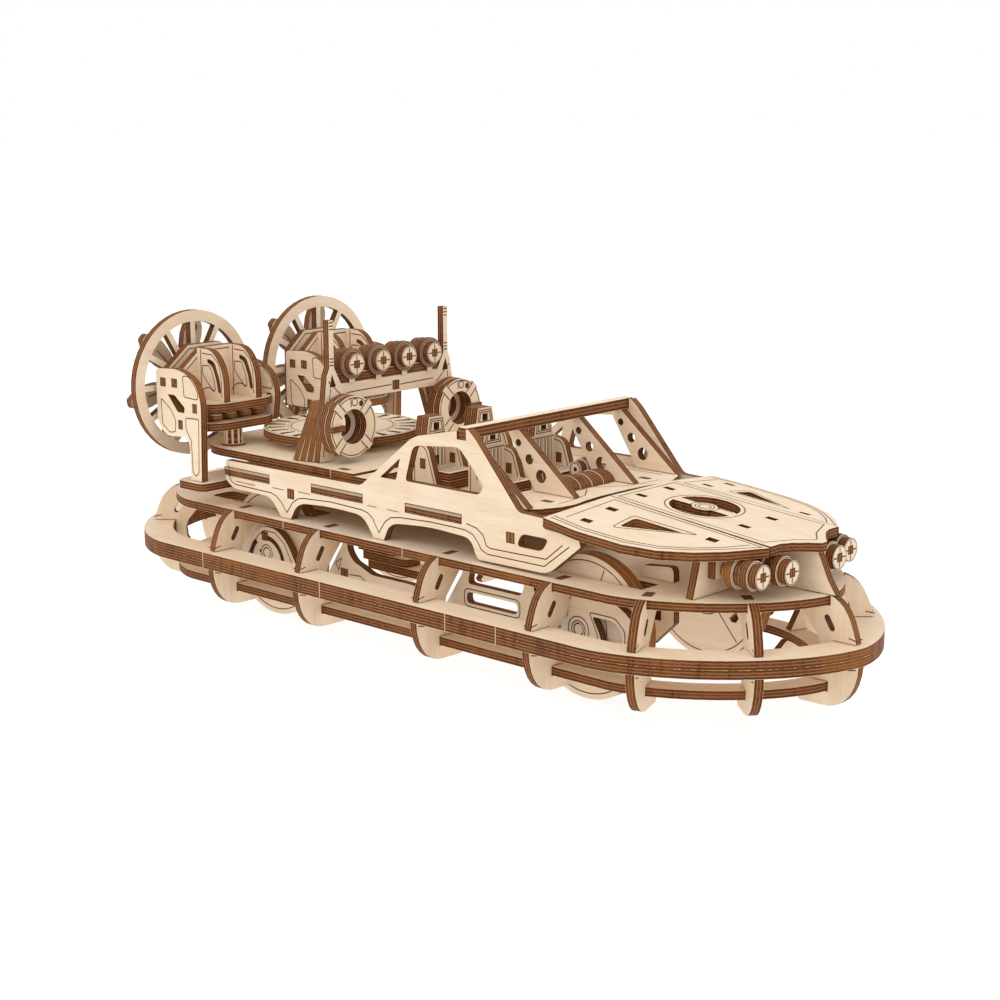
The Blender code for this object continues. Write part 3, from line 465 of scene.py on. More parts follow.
class Bench:
    """Boards and scorched lines that leave the bench as one object."""

    def __init__(self, name):
        self.name, self.count, self.boards = name, 0, 0
        self.points, self.faces, self.share, self.burn_and_shade, self.fibre, self.streak = [], [], [], [], [], []

    def keep(self, on, flat, t, faces, share, burn_and_shade, grain=0):
        """Adds points at (a, b, t) on a sheet, and turns the faces round where the sheet is left-handed."""
        points = on[0] + np.outer(flat[:, 0], on[1]) + np.outer(flat[:, 1], on[2]) + np.outer(t, on[3])
        left_handed = np.dot(np.cross(on[1], on[2]), on[3]) < 0
        for group in faces:
            self.faces += ((group[:, ::-1] if left_handed else group) + self.count).tolist()
        along, through = unit(on[[1 + grain]])[0], unit(on[[3]])[0]
        moved = points + BOARD_STEP * self.boards
        self.points.append(points)
        self.fibre.append(moved - GRAIN_STRETCH * np.outer(moved @ along, along))
        self.streak.append(moved - SCORCH_STRETCH * np.outer(moved @ through, through))
        self.share.append(np.zeros(len(points)) + share)
        self.burn_and_shade.append(np.full(len(points), float(burn_and_shade)))
        self.count += len(points)

    def board(self, on, outline, holes=(), thickness=PLY, base=0.0, burn_and_shade=0.0, grain=0, share=(0.0, 1.0)):
        """A cut board: filled faces at t = base and base + thickness, and walls along every loop."""
        loops = [left_turning(outline)] + [left_turning(hole)[::-1] for hole in holes]
        flat = np.concatenate(loops)
        count = len(flat)
        corners = np.array(tessellate_polygon([[Vector((*point, 0)) for point in loop] for loop in loops]))
        u, v = flat[corners[:, 1]] - flat[corners[:, 0]], flat[corners[:, 2]] - flat[corners[:, 0]]
        backwards = u[:, 0] * v[:, 1] - u[:, 1] * v[:, 0] < 0
        corners[backwards] = corners[backwards][:, ::-1]
        starts = np.cumsum([0] + [len(loop) for loop in loops])
        index = np.arange(count)
        following = index + 1
        following[starts[1:] - 1] = starts[:-1]
        walls = np.stack([index, following, following + count, index + count], 1)
        t = np.repeat([base, base + thickness], count)
        faces = [corners[:, ::-1], corners + count, walls]
        self.boards += 1
        self.keep(on, np.concatenate([flat, flat]), t, faces, np.repeat(share, count), burn_and_shade, grain)

    def line(self, on, path, t=PLY, width=LINE_WIDTH, closed=False, burn_and_shade=1.0):
        """A scorched line: a strip along the path, just outside the face at t."""
        low, high = shifted(path, -width / 2, closed), shifted(path, width / 2, closed)
        count, out = len(low), 1 if t > 0 else -1
        first = np.arange(count if closed else count - 1)
        second = (first + 1) % count
        quads = np.stack([first, second, second + count, first + count], 1)[:, ::out]
        self.keep(on, np.concatenate([low, high]), np.full(2 * count, t + out * ABOVE), [quads], 0.0, burn_and_shade)

    def both(self, on, path, **settings):
        """The same scorched line on both faces of a board."""
        for t in (0.0, PLY):
            self.line(on, path, t, **settings)

    def tenon(self, on, a, b, half=2.0, t=PLY, half_b=None):
        """The end of another board in its slot: a small square that shows plies, just above the face."""
        half_b = half_b or half
        flat, out = np.array(box(a - half, b - half_b, a + half, b + half_b)), 1 if t > 0 else -1
        self.boards += 1
        self.keep(on, flat, np.full(4, t + out * ABOVE), [np.array([[0, 1, 2, 3]])[:, ::out]], TENON_SHARE, 0)
        self.line(on, flat, t, 0.3, True)
        self.line(on, [(a, b - half_b), (a, b + half_b)], t + out * 0.02, 0.35)

    def done(self, *nodes, body="hull", slot="ply_face"):
        """The finished object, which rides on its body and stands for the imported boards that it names."""
        mesh = bpy.data.meshes.new(self.name)
        mesh.from_pydata(metres(np.concatenate(self.points)), [], self.faces)
        for name, values in (("share", self.share), ("burn_and_shade", self.burn_and_shade)):
            mesh.attributes.new(name, "FLOAT", "POINT").data.foreach_set("value", np.concatenate(values))
        for name, values in (("fibre", self.fibre), ("streak", self.streak)):
            written_values = (np.concatenate(values) * MM).ravel()
            mesh.attributes.new(name, "FLOAT_VECTOR", "POINT").data.foreach_set("vector", written_values)
        mesh.materials.append(board_wood)
        mesh.update()
        piece = bpy.data.objects.new(self.name, mesh)
        bpy.context.scene.collection.objects.link(piece)
        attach(piece, body)
        if nodes:
            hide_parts(*nodes)
        print(self.name, "has", len(mesh.polygons), "faces")
        return piece


# %% [markdown]
# ## Lamps as stacks of discs
#
# Each lamp is a stack of round boards on one axis. Its front disc is pale, with a small square hole in
# which the cross-shaped end of a peg shows, and four short ticks round it. The discs behind show nothing
# but their burnt rims.

# %% Build the searchlights and the headlights
ON_TOP = 1
PLATFORM_Z = 62.3
ON_PLATFORM = PLATFORM_Z + PLY + FIT


def lamp_front(bench, on, y, z, r):
    """The engraved front of a lamp: a peg's end, four ticks round it, and a line along the rim."""
    bench.tenon(on, y, z, 0.33 * r, ON_TOP)
    for turn in (0, pi / 2, pi, 3 * pi / 2):
        path = [(y + q * r * cos(turn), z + q * r * sin(turn)) for q in (0.38, 0.82)]
        bench.line(on, path, ON_TOP, 0.5)
    bench.line(on, circle(y, z, 0.93 * r), ON_TOP, 0.25, True)


ARCH_X, BEAM_LOW, BEAM_TOP, LEG_TOP = -58, 91.1, 98.3, 90
LAMP_Z = 106.4
SEARCHLIGHT = ((3.2, 5.8, 0), (3.6, 6.2, 0), (2, 6.6, 0.9), (2.7, 4.5, 0))
bench = Bench("searchlight_boards")
bench.board(level(BEAM_TOP + FIT), box(ARCH_X, -29, ARCH_X + PLY, 29))
for y in (-23.3, -7.75, 7.75, 23.3):
    x = ARCH_X - 4
    for thickness, radius, burn_and_shade in SEARCHLIGHT:
        bench.board(crosswise(x), circle(y, LAMP_Z, radius), (), thickness, burn_and_shade=burn_and_shade)
        x += thickness
    rim = crosswise(x - SEARCHLIGHT[-1][0] - ON_TOP)
    for radius in (6.2, 5.3):
        bench.line(rim, circle(y, LAMP_Z, radius), ON_TOP, 0.2, True, burn_and_shade=0.2)
    lamp_front(bench, crosswise(x - ON_TOP), y, LAMP_Z, SEARCHLIGHT[-1][1])
    bench.board(crosswise(ARCH_X + 0.2), box(y - 1.6, BEAM_TOP - 0.1, y + 1.6, BEAM_TOP + 2.8),
                (), PLY + 0.6)
bench.done("searchlights")

HEADLIGHT_Z, HEADLIGHT_BASE = 51.4, 142.3
HEADLIGHT = ((3.5, 5.9, -0.5), (3.2, 4.8, 0), (3.2, 5.5, 0), (3.5, 4.6, 0))
for side_name, side in SIDES:
    bench = Bench(f"headlight_boards_{side_name}")
    low, high = sorted((side * 10.5, side * 32.5))
    bench.board(crosswise(HEADLIGHT_BASE), box(low, 48.5, high, 55.5))
    for y, out in ((15.2, 8.2), (28, 4.6)):
        x = HEADLIGHT_BASE + PLY - 0.6
        bench.board(crosswise(x), circle(side * y, HEADLIGHT_Z, 2.2, 24), (), out, burn_and_shade=-1)
        x += out
        for i, (thickness, radius, burn_and_shade) in enumerate(HEADLIGHT):
            bench.board(crosswise(x), circle(side * y, HEADLIGHT_Z, radius), (), thickness, burn_and_shade=burn_and_shade)
            x += thickness
            if i < 3:
                rim = circle(side * y, HEADLIGHT_Z, radius - 0.5)
                bench.line(crosswise(x - ON_TOP), rim, ON_TOP, 0.25, True)
        lamp_front(bench, crosswise(x - ON_TOP), side * y, HEADLIGHT_Z, HEADLIGHT[-1][1])
    bench.done(f"headlights_{side_name}")

# %% [markdown]
# ## The arch and its life rings
#
# The arch is one board across the hull, with three more boards behind each leg that step outwards like a
# fan. An engraved line runs along its beam, and each antenna has three ticks near its tip and three at its
# root. A life ring is three layers: a small one at the back, and two wider ones with four straps that
# stand proud of their rims.

# %% Build the arch
def mirrored(points):
    """The outline on the other side of the middle."""
    return [(-a, b) for a, b in reversed(points)]


arch_right = [(41.9, ON_PLATFORM), (36.9, 102.5), (35.4, 105.6), (35.4, 125.6), (32.8, 125.6),
              (32.8, 105.4), (28.9, BEAM_TOP)]
arch_under = [(27.5, BEAM_LOW), (34.5, ON_PLATFORM)]
antenna_gap = [(34, 102.9), (31.8, 97.4), (35.6, 97.4)]
bench = Bench("arch_boards")
on = crosswise(ARCH_X)
bench.board(on, arch_right + mirrored(arch_right) + mirrored(arch_under) + arch_under,
            [antenna_gap, mirrored(antenna_gap)], grain=0)
for k in (1, 2, 3):
    outer_foot, outer_top = 41.9 + 0.9 * k, 38.3 - 1.6 * k
    leg = [(outer_foot, ON_PLATFORM), (outer_top, LEG_TOP), (outer_top - 3.7, LEG_TOP),
           (outer_foot - 6.5, ON_PLATFORM)]
    for outline in (leg, mirrored(leg)):
        bench.board(crosswise(ARCH_X - PLY * k), outline, (), PLY - 0.15, grain=1)
for first, last in ((-26, 0.6), (5.6, 26)):
    bench.both(on, [(first, 94.1), (last, 94.6)])
for t in (PLY, 0):
    bench.tenon(on, 3.2, 94.2, 1.9, t)
for side_name, side in SIDES:
    for z in (124.6, 123.2, 121.8, 109.4, 108, 106.6):
        bench.both(on, [(side * 33, z), (side * 35.2, z)], width=0.5)
    bench.both(on, [(side * 36.2, 100), (side * 31.8, 96), (side * 28.4, 93), (side * 29.6, 86)])
    bench.both(on, [(side * 34.9, 97), (side * 40, 68)])
bench.done("arch")

# %% Build the life rings
RING_Y, RING_Z = 32.1, 81.6
for side_name, side in SIDES:
    bench = Bench(f"life_ring_boards_{side_name}")
    centre = side * RING_Y
    x = ARCH_X + PLY + FIT
    turns = np.linspace(0, 2 * pi, 144, endpoint=False)
    from_strap = np.abs((turns % (pi / 2)) - pi / 4)
    layers = ((10.5, 0, 5, PLY), (13.2, 0.6, 7.4, PLY), (13, 0.8, 7.4, PLY))
    for radius, proud, hole, thickness in layers:
        reach = radius + proud * (from_strap < 0.14)
        outline = np.stack([centre + reach * np.cos(turns), RING_Z + reach * np.sin(turns)], 1)
        bench.board(crosswise(x), outline, [circle(centre, RING_Z, hole)], thickness - 0.12, grain=1)
        x += thickness
    on = crosswise(x - PLY - 0.12)
    for quarter in range(4):
        middle = 45 + 90 * quarter
        bench.line(on, arc(centre, RING_Z, 12.2, middle + 9, middle + 81))
        direction, across = polar(radians(middle))
        for offset in (-1.7, 1.7):
            ends = [np.array([centre, RING_Z]) + direction * r + across * offset for r in (7.5, 13.4)]
            bench.line(on, ends, width=0.5)
    bench.line(on, [(centre - 1.2, RING_Z + 8.3), (centre - 1.2, RING_Z + 12.2)])
    bench.line(on, circle(centre + 0.9, RING_Z + 10.3, 1.5), closed=True)
    bench.board(on, circle(centre + 4.6, RING_Z + 9.4, 1.25, 20), (), 0.08, PLY, burn_and_shade=1)
    low, high = sorted((centre + side * 5.5, centre + side * 13))
    bench.board(level(RING_Z - 1.2), box(x - PLY, low, x + 1, high), (), 2.4, burn_and_shade=0.9)
    bench.done(f"life_ring_{side_name}")

# %% [markdown]
# ## Nacelles
#
# Each nacelle is a box of boards on a round post: two cheeks, two cross frames with slanted shoulders, two
# cowl plates with round fronts and curved slots, and two shelves with small round-ended tabs between them.
# The outer cheek carries three engraved panels and the inner one two, and both show the ends of the boards
# that pass through them.

# %% Build the nacelles
FAN_Y, CHEEK_Y, NACELLE_REAR, CHEEK_REAR, PLANK_TOP = 37.6, 22.8, -142.2, -140.5, 52.5
SHELVES, SHELF_FRONT, SHELF_SHOULDER = (74, 82.5), -109, -115
POST_X, POST_R, POST_HIGH, COLLAR_HIGH = -116.4, 3.6, 8, 0.9
TAB_Z, TAB_HIGH, PLATE_Z, PLATE_HIGH = 79.2, 1.8, 77.4, 5.2
CHEEK_TOP = ((CHEEK_REAR, 100, 2), (-124, 101.2, 6), (-113, 96.4, 5), (-109.8, 87, 3))
INNER_CHEEK = CHEEK_TOP + ((-112, SHELVES[0] + 0.6, 2), (CHEEK_REAR, SHELVES[0] + 0.6, 1))
CHEEK = CHEEK_TOP + ((-111, PLANK_TOP + FIT, 0), (-118.2, PLANK_TOP + FIT, 0), (-118.4, 68.8, 2),
                     (-121, 71.5, 1), (-134, 70.6, 2), (-137.6, 73, 1), (CHEEK_REAR, 77.5, 1))
CHEEK_SLOT = rounded([(-132.8, 89.3, 0.8), (-127.8, 89.3, 0.8), (-121, 84.4, 0.8), (-121.5, 82, 0.6),
                      (-126, 82, 0.8)])
COWL_TOP, COWL_FRONT, FRAME_X, COWL_FOOT = 108.6, -111.2, -132.5, 85.4
COWL = rounded([(FRAME_X + PLY, COWL_FOOT, 0), (FRAME_X + PLY, COWL_TOP, 0), (-118, COWL_TOP, 9),
                (COWL_FRONT, 99, 8), (COWL_FRONT, COWL_FOOT, 0)])
COWL_SLOT = rounded([(-122, 104.6, 1.5), (-117, 103.4, 2), (-113.9, 96, 2), (-113, 89.8, 1),
                     (-115, 89.8, 1), (-116.2, 95.6, 2), (-118.8, 101.6, 2), (-122, 102.6, 1)])
SHOULDER = [(19, COWL_FOOT), (19, 98.3), (6, COWL_TOP), (-12.5, COWL_TOP), (-22, 100.2), (-22, COWL_FOOT)]
UPPER_PANEL = rounded([(-121.8, 98.2, 1), (-118, 98.8, 2), (-113, 94.6, 3), (-111.4, 90.4, 1),
                       (-112.3, 88.8, 1), (-121.2, 89.2, 1)])
LEAF = rounded([(-137.6, 87, 1), (-131.4, 83.2, 1), (-127.6, 78.4, 2), (-128.2, 73, 1), (-132.1, 72.4, 1),
                (-137, 75.6, 1)])
LEG_PANEL = rounded([(-120.6, 80, 1), (-111.6, 80.4, 1), (-112.6, 56.6, 1), (-115, 54.6, 2),
                     (-116.8, 56.8, 1), (-117.2, 70.6, 1), (-120.6, 74.8, 1)])
COWL_LEAF = rounded([(-125.4, 101.2, 1), (-120.4, 101.4, 1), (-117.9, 96, 1), (-116.9, 91.2, 0.5),
                     (-118.3, 90.2, 0.5), (-125.4, 97, 1)])


def cheek_lines(bench, on, with_leg):
    """The engraving of a cheek on both of its faces."""
    for panel in (UPPER_PANEL, LEAF) + ((LEG_PANEL,) if with_leg else ()):
        bench.both(on, panel, closed=True)
    for t in (0, PLY):
        for a, b in ((-114.1, 84.8), (-124.4, 76.6)):
            bench.tenon(on, a, b, 1.4, t, 1.9)
        for a, b in ((-135.75, 94.35), (-127.75, 94.65)):
            bench.tenon(on, a, b, 1.8, t)


for side_name, side in SIDES:
    centre = side * FAN_Y
    outer_y, inner_y = centre + side * CHEEK_Y, centre - side * CHEEK_Y
    outer, inner = min(outer_y, outer_y - side * PLY), min(inner_y, inner_y + side * PLY)
    bench = Bench(f"nacelle_cheek_boards_{side_name}")
    bench.board(lengthwise(outer), rounded(CHEEK), [CHEEK_SLOT])
    cheek_lines(bench, lengthwise(outer), True)
    bench.done(f"nacelle_cheek_{side_name}")
    bench = Bench(f"nacelle_boards_{side_name}")
    bench.board(lengthwise(inner), rounded(INNER_CHEEK), [CHEEK_SLOT])
    cheek_lines(bench, lengthwise(inner), False)
    for out in (7, -11):
        on = lengthwise(centre + side * out - PLY / 2)
        bench.board(on, COWL, [COWL_SLOT])
        bench.both(on, COWL_LEAF, closed=True)
        bench.both(on, [(-125.5, 106.6), (-118.6, 106.4), (-114.6, 103.2), (-112.8, 98), (-112.6, 88)])
        bench.both(on, arc(-121.5, 84.6, 7, 150, 60))
        bench.both(on, [(-126.4, COWL_FOOT), (-126.4, COWL_TOP - 0.4)], width=0.5)
    for x in (NACELLE_REAR, FRAME_X):
        on = sheet((x, centre, 0), (0, side, 0), Z, X)
        bench.board(on, SHOULDER)
        bench.both(on, [(17.4, 88), (17.4, 97.4), (5.4, COWL_TOP - 1.6), (-11.9, COWL_TOP - 1.6),
                        (-20.4, 99.4)])
    low, high = sorted((outer_y - side * (PLY + FIT), inner_y + side * 0.3))
    shelf_outline = rounded([
        (NACELLE_REAR, low, 0), (SHELF_SHOULDER, low, 4), (SHELF_FRONT, low + 7.5, 5),
        (SHELF_FRONT, high - 7.5, 5), (SHELF_SHOULDER, high, 4), (NACELLE_REAR, high, 0)])
    for z in SHELVES:
        bench.board(level(z), shelf_outline)
        bench.line(level(z), inset(shelf_outline, 1.6), closed=True)
    for out in (12, 4, -4, -12):
        tab = rounded([(-120, -2.6, 1), (-110.4, -2.6, 2.4), (-110.4, 2.6, 2.4), (-120, 2.6, 1)])
        bench.board(level(TAB_Z), np.array(tab) + [0, centre + out], (), TAB_HIGH)
    plate = rounded([(-140, low + 2, 0), (-116, low + 4, 3), (-116, high - 4, 3), (-140, high - 2, 0)])
    bench.board(level(PLATE_Z), plate, (), PLATE_HIGH)
    post = circle(POST_X, centre, POST_R, 32)
    bench.board(level(ON_PLATFORM), post, (), POST_HIGH, grain=1, share=(0.05, 0.95))
    for turn in np.arange(8) * pi / 4:
        spot = (POST_X + POST_R * cos(turn), centre + POST_R * sin(turn))
        bench.board(level(ON_PLATFORM), circle(*spot, 0.5, 8), (), POST_HIGH, share=(0, 0))
    bench.board(level(PLATFORM_Z + PLY), circle(POST_X, centre, POST_R + 1.8), (), COLLAR_HIGH)
    bench.done(f"nacelle_frame_{side_name}")

# %% [markdown]
# ## Propellers and wheels
#
# A propeller is one board with six blades, between two hub discs on a shaft. Each blade has an engraved
# line and the small square end of a tenon near its tip. A wheel is two discs, and both wheels of a pair
# share an axle. The laser scorched the wheels' rims less than the rest, so they are more amber.

# %% Build the propellers and the wheels
PROP_X, PROP_TURN, FAN_Z = -153.5, radians(16), 90.9
BLADE = ((7.5, 2.2), (15, 4.4), (21, 5), (25.5, 4.4), (28.6, 2.6), (29.8, 2.2), (30.4, 1.2))
for side_name, side in SIDES:
    bench = Bench(f"propeller_boards_{side_name}")
    middle = np.array([side * FAN_Y, FAN_Z])
    outline = []
    for i in range(6):
        turn = PROP_TURN + pi / 3 * i
        out, over = np.array([sin(turn), cos(turn)]), np.array([cos(turn), -sin(turn)])
        for way, half_blade in ((-1, BLADE), (1, BLADE[::-1])):
            outline += [middle + out * r + way * over * h for r, h in half_blade]
    on = crosswise(PROP_X)
    # The blades' faces are mixed a little towards scorch brown: painted shade for the shade they sit in
    # behind the fan ring.
    bench.board(on, outline, burn_and_shade=0.28)
    for i in range(6):
        turn = PROP_TURN + pi / 3 * i
        out = np.array([sin(turn), cos(turn)])
        for t in (0, PLY):
            bench.tenon(on, *(middle + out * 24.5), 1.2, t)
            bench.line(on, [middle + out * 9, middle + out * 21], t, 0.5)
    for x in (PROP_X - 2, PROP_X + PLY):
        bench.board(crosswise(x), circle(*middle, 4.5), (), 2)
    bench.board(crosswise(PROP_X - 2), circle(*middle, 2, 24), (), 13, share=(0, 0))
    bench.done(f"propeller_{side_name}", body=f"propeller_{side_name}")

AXLE_Z, AXLE_R, WHEEL_R, FRAME_OUT = 22.3, 2, 28, 45
WHEEL_HOLE_TURNS, WHEEL_HOLES_OUT, WHEEL_HOLE_R = np.radians((-32, 88, 208)), 17, 2.4
for end, axle_x in (("front", 92), ("rear", -87)):
    bench = Bench(f"{end}_wheel_boards")
    for y in (-40.5, -37, 33.5, 37):
        on = lengthwise(y)
        holes = [circle(axle_x + WHEEL_HOLES_OUT * cos(t), AXLE_Z + WHEEL_HOLES_OUT * sin(t), WHEEL_HOLE_R, 6)
                 for t in WHEEL_HOLE_TURNS]
        bench.board(on, circle(axle_x, AXLE_Z, WHEEL_R, 96), holes, PLY - 0.1, burn_and_shade=-1)
        bench.both(on, circle(axle_x, AXLE_Z, WHEEL_R - 2.2, 72), closed=True)
        for first in (0, 120, 240):
            bench.both(on, arc(axle_x, AXLE_Z, 10, first + 95, first + 190))
            turn = radians(first - 50)
            bench.both(on, [(axle_x + r * cos(turn), AXLE_Z + r * sin(turn)) for r in (11, 25)])
    axle = circle(axle_x, AXLE_Z, AXLE_R, 24)
    bench.board(lengthwise(-FRAME_OUT), axle, (), 2 * FRAME_OUT, share=(0, 0))
    bench.done(f"{end}_wheels", body=f"{end}_wheels", slot="ply_wheels")

# %% [markdown]
# ## Cabin: seats, dashboard and steering wheel
#
# A seat is a back board with engraved stripes, two bolsters beside it whose fronts are rounded, a headrest
# of two plies with a framed square hole, and a cushion of two plies. The dashboard is nine boards side by
# side, so its hump shows their edges, and the steering wheel is a pale disc before a dark barrel.

# %% Build the cabin's pieces
SEAT_BASE, BACK_TOP, HEAD_TOP, BOLSTER = 59.3, 79.5, 87.4, 2.9
for row, seat_x, seat_y in (("front", 20, 15.4), ("rear", -12.7, 14.7)):
    for side_name, side in SIDES:
        bench = Bench(f"seat_boards_{row}_{side_name}")
        y = side * seat_y
        back_on = crosswise(seat_x - PLY)
        bench.board(back_on, rounded([(y - 9, SEAT_BASE, 0), (y + 9, SEAT_BASE, 0), (y + 9.5, 75, 3),
                                      (y + 8, BACK_TOP, 2), (y - 8, BACK_TOP, 2),
                                      (y - 9.5, 75, 3)]), grain=1)
        for out in (-5.6, -4.8, -3.4, -2.6, -1.2, -0.4, 1, 1.8, 3.2, 4, 5.4):
            bench.line(back_on, [(y + out, 62.5), (y + out, BACK_TOP - 1.6)], width=0.4)
        bench.line(back_on, [(y - 7.5, BACK_TOP - 1.2), (y + 7.5, BACK_TOP - 1.2)])
        bench.tenon(back_on, y, 69, 1.7)
        head_on = crosswise(seat_x - 2 * PLY + 0.6)
        trapezoid = [(y - 5.8, BACK_TOP), (y + 5.8, BACK_TOP), (y + 4.3, HEAD_TOP), (y - 4.3, HEAD_TOP)]
        hole = square(y, 83.3, 1.6)
        bench.board(head_on, trapezoid, [hole], PLY, grain=1)
        bench.board(head_on, trapezoid, [hole], PLY, PLY, grain=1)
        for distance in (1, 1.9):
            bench.line(head_on, inset(trapezoid, distance), 2 * PLY, closed=True)
        # A scorched plate set a ply deep in the headrest's square hole: painted shade inside the hole.
        bench.board(head_on, hole, (), 1, PLY - 1, burn_and_shade=1)
        for z in (SEAT_BASE, SEAT_BASE + PLY):
            bench.board(level(z), box(seat_x + 0.1, y - 7.2, seat_x + 15, y + 7.2), (), PLY - 0.05)
        for out in (-5.4, -3.8, -1.8, 0, 1.8, 3.8, 5.4):
            bench.line(level(SEAT_BASE + PLY), [(seat_x + 2.5, y + out),
                                                (seat_x + 13.5, y + out)], width=0.4)
        bolster = rounded([(seat_x - 3.4, SEAT_BASE, 0), (seat_x + 11, SEAT_BASE, 1), (seat_x + 9, 66, 2),
                           (seat_x + 5.4, 77, 3), (seat_x - 2, 78.4, 2), (seat_x - 3.4, 76, 0)])
        for low in (y - 10.2, y + 7.3):
            on = lengthwise(low)
            bench.board(on, bolster, (), BOLSTER, grain=1)
            for t in (0, BOLSTER):
                bench.line(on, inset(bolster, 1.2), t, closed=True)
                bench.tenon(on, seat_x + 2.6, 69.2, 1.4, t, 2)
        bench.done(f"seat_{row}_{side_name}")

DASH_X, DASH_HALF, DASH_BOARDS, ON_COAMING = 52, 15.9, 9, 65.1
bench = Bench("dashboard_boards")
turns = np.linspace(0, pi, 25)
step = 2 * DASH_HALF / DASH_BOARDS
for i in range(DASH_BOARDS):
    long, high = (7, 4.6) if i % 2 else (6.65, 4.25)
    profile = np.stack([DASH_X + long * np.cos(turns), ON_COAMING + high * np.sin(turns)], 1)
    bench.board(lengthwise(-DASH_HALF + i * step), profile, (), step - 0.1)
bench.line(lengthwise(-DASH_HALF), arc(DASH_X, ON_COAMING, 3.2, 20, 160), 0)
bench.done("dashboard")

STEERING, DISC_Y, DISC = (38, 67.2), 15.4, 3.4
bench = Bench("steering_wheel_boards")
bench.board(lengthwise(23.5), [(39, 66), (39, 69), (46, 69), (50, 67.5), (50, ON_COAMING),
                               (46, ON_COAMING), (44.8, 66)], (), 3)
for y, radius, holes in ((19, 4.2, ()), (22.5, 2.6, ()), (DISC_Y, 3.4, [circle(*STEERING, 0.9, 20)])):
    bench.board(lengthwise(y), circle(*STEERING, radius), holes, DISC)
bench.line(lengthwise(DISC_Y), circle(*STEERING, 2.7), 0, closed=True)
bench.done("steering_wheel")

# %% [markdown]
# ## The slotted gear and the stern plank
#
# The gear lies on the platform behind the arch: a small disc, and on it a wide one with slots like petals
# and engraved circles. The stern plank crosses under the nacelles on two short legs.

# %% Build the gear and the plank
GEAR_X, GEAR_R = -86, 35
bench = Bench("gear_boards")
bench.board(level(ON_PLATFORM), circle(GEAR_X, 0, 22), (), PLY - 0.1)
gear_centre = np.array([GEAR_X, 0])
slots = []
for turn in (np.arange(24) + 0.5) * 2 * pi / 24:
    out, over = polar(turn)
    slots.append([gear_centre + out * r + over * h for r, h in
                  ((25.5, -0.8), (32.9, -1.7), (32.9, 1.7), (25.5, 0.8))])
on = level(ON_PLATFORM + PLY)
bench.board(on, circle(GEAR_X, 0, GEAR_R, 120), slots)
bench.line(on, circle(GEAR_X, 0, 34, 96), closed=True)
for turn in np.arange(60) * 2 * pi / 60:
    out, over = polar(turn)
    bench.line(on, [gear_centre + out * 24.2 + over * h for h in (-0.5, 0.5)], width=0.5)
bench.line(on, circle(GEAR_X, 0, 22.8, 96), closed=True)
for a, b in ((GEAR_X + 17, 0), (GEAR_X, 17), (GEAR_X - 17, 0), (GEAR_X, -17)):
    bench.tenon(on, a, b, 2)
bench.done("main_gear")

bench = Bench("stern_plank_boards")
plank_side = [(-107.5, 40, 0), (-107.5, 63, 4), (-125.5, 63, 4), (-128, 40, 0)]
other_side = [(a, -b, r) for a, b, r in reversed(plank_side)]
bench.board(level(PLANK_TOP - PLY), rounded(other_side + plank_side), grain=1)
for y in (-25.5, 22):
    bench.board(lengthwise(y), box(-126, 42, -112, PLANK_TOP - PLY))
bench.done("stern_plank")

# %% [markdown]
# ## Side panels and roof bar
#
# A side panel is one long board with two windows, a slanting hole near its front end, two slots for the
# shelf's tongues and a notch for the third one. The roof bar is a narrow beam that lies in a notch at the
# top of both panels. Both are cut again here, because the photograph shows the bar narrower and a little
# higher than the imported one.

# %% Cut and engrave the side panels
PANEL = (
    (-105.6, 62, 0), (-105.8, 59.3, 0), (-76.7, 59.3, 0), (-76.7, 55.2, 0), (-106.2, 55.2, 0),
    (-106.3, 53.5, 4), (-100.7, 49.9, 4), (-76, 49.9, 5), (-69.8, 42, 0), (-63.5, 42, 0), (-59, 49.6, 6),
    (-38.6, 51, 8), (-18.5, 50.3, 5), (-12.6, 42, 0), (-6.6, 42, 0), (-3, 49.6, 6), (19.8, 51.5, 8),
    (42, 50.5, 4), (45.5, 42.6, 2), (80, 43, 2), (84, 44.6, 2), (97.9, 55.9, 0), (96.9, 58.8, 0),
    (78.9, 60.3, 2), (79.9, 64, 0), (67.1, 64.4, 2), (44.7, 89.8, 2), (40.8, 93, 0), (39.9, 92.8, 0),
    (39.9, 88.5, 0), (34.9, 88.5, 0), (34.9, 91.8, 0), (10.8, 86.6, 4), (-19.8, 62.7, 2))
PANEL_HOLES = (
    rounded([(10.8, 83, 3), (6.1, 68.1, 2), (46.6, 68.2, 2), (49.3, 72.1, 2), (36, 85.6, 3)]),
    rounded([(-8.3, 67.7, 0.6), (1, 67.8, 1), (3.4, 77, 1)]),
    box(-50.3, 55.2, -18.7, 59.3), box(5.7, 55.2, 37.3, 59.3),
    rounded([(66, 51.2, 2.5), (79, 51.2, 2.5), (82.4, 56.5, 2.5), (68.5, 56.5, 2.5)]))
PANEL_BORDER = [
    (-103.6, 60), (-103.4, 54.8), (-102, 52.9), (-99.6, 52), (-83.7, 51.7), (-76, 51.6), (-72.8, 50.8),
    (-69.6, 48.6), (-66, 44.4), (-62.2, 49.2), (-58.6, 51.5), (-54.8, 52.2), (-38, 53.1), (-19.6, 52.6),
    (-16, 51.9), (-13.2, 50.2), (-9.5, 44.6), (-5.8, 49.6), (-2.4, 51.9), (2.9, 52.7), (20, 53.6),
    (38.8, 53.4), (43.3, 52.1), (45.9, 49.5), (47.7, 46.9), (50.7, 45.6), (80.1, 45.7), (92.4, 55.1)]
PANEL_INNER = [(39.8, 56), (45.1, 55), (48.6, 52.9), (50.3, 48.9), (52.5, 48.1), (81, 48.6), (89.1, 55.2)]
PANEL_DASHES = ((-99.2, -86.4, 53.4), (-75.2, -67.4, 54), (-58.5, -50.9, 54.5), (-16, -10.6, 54.9),
                (-4.6, 2, 54.9))
PANEL_OUT, FRAME_IN, PAINTED_SLOT_SHADOW = 51, 41.5, 0.05
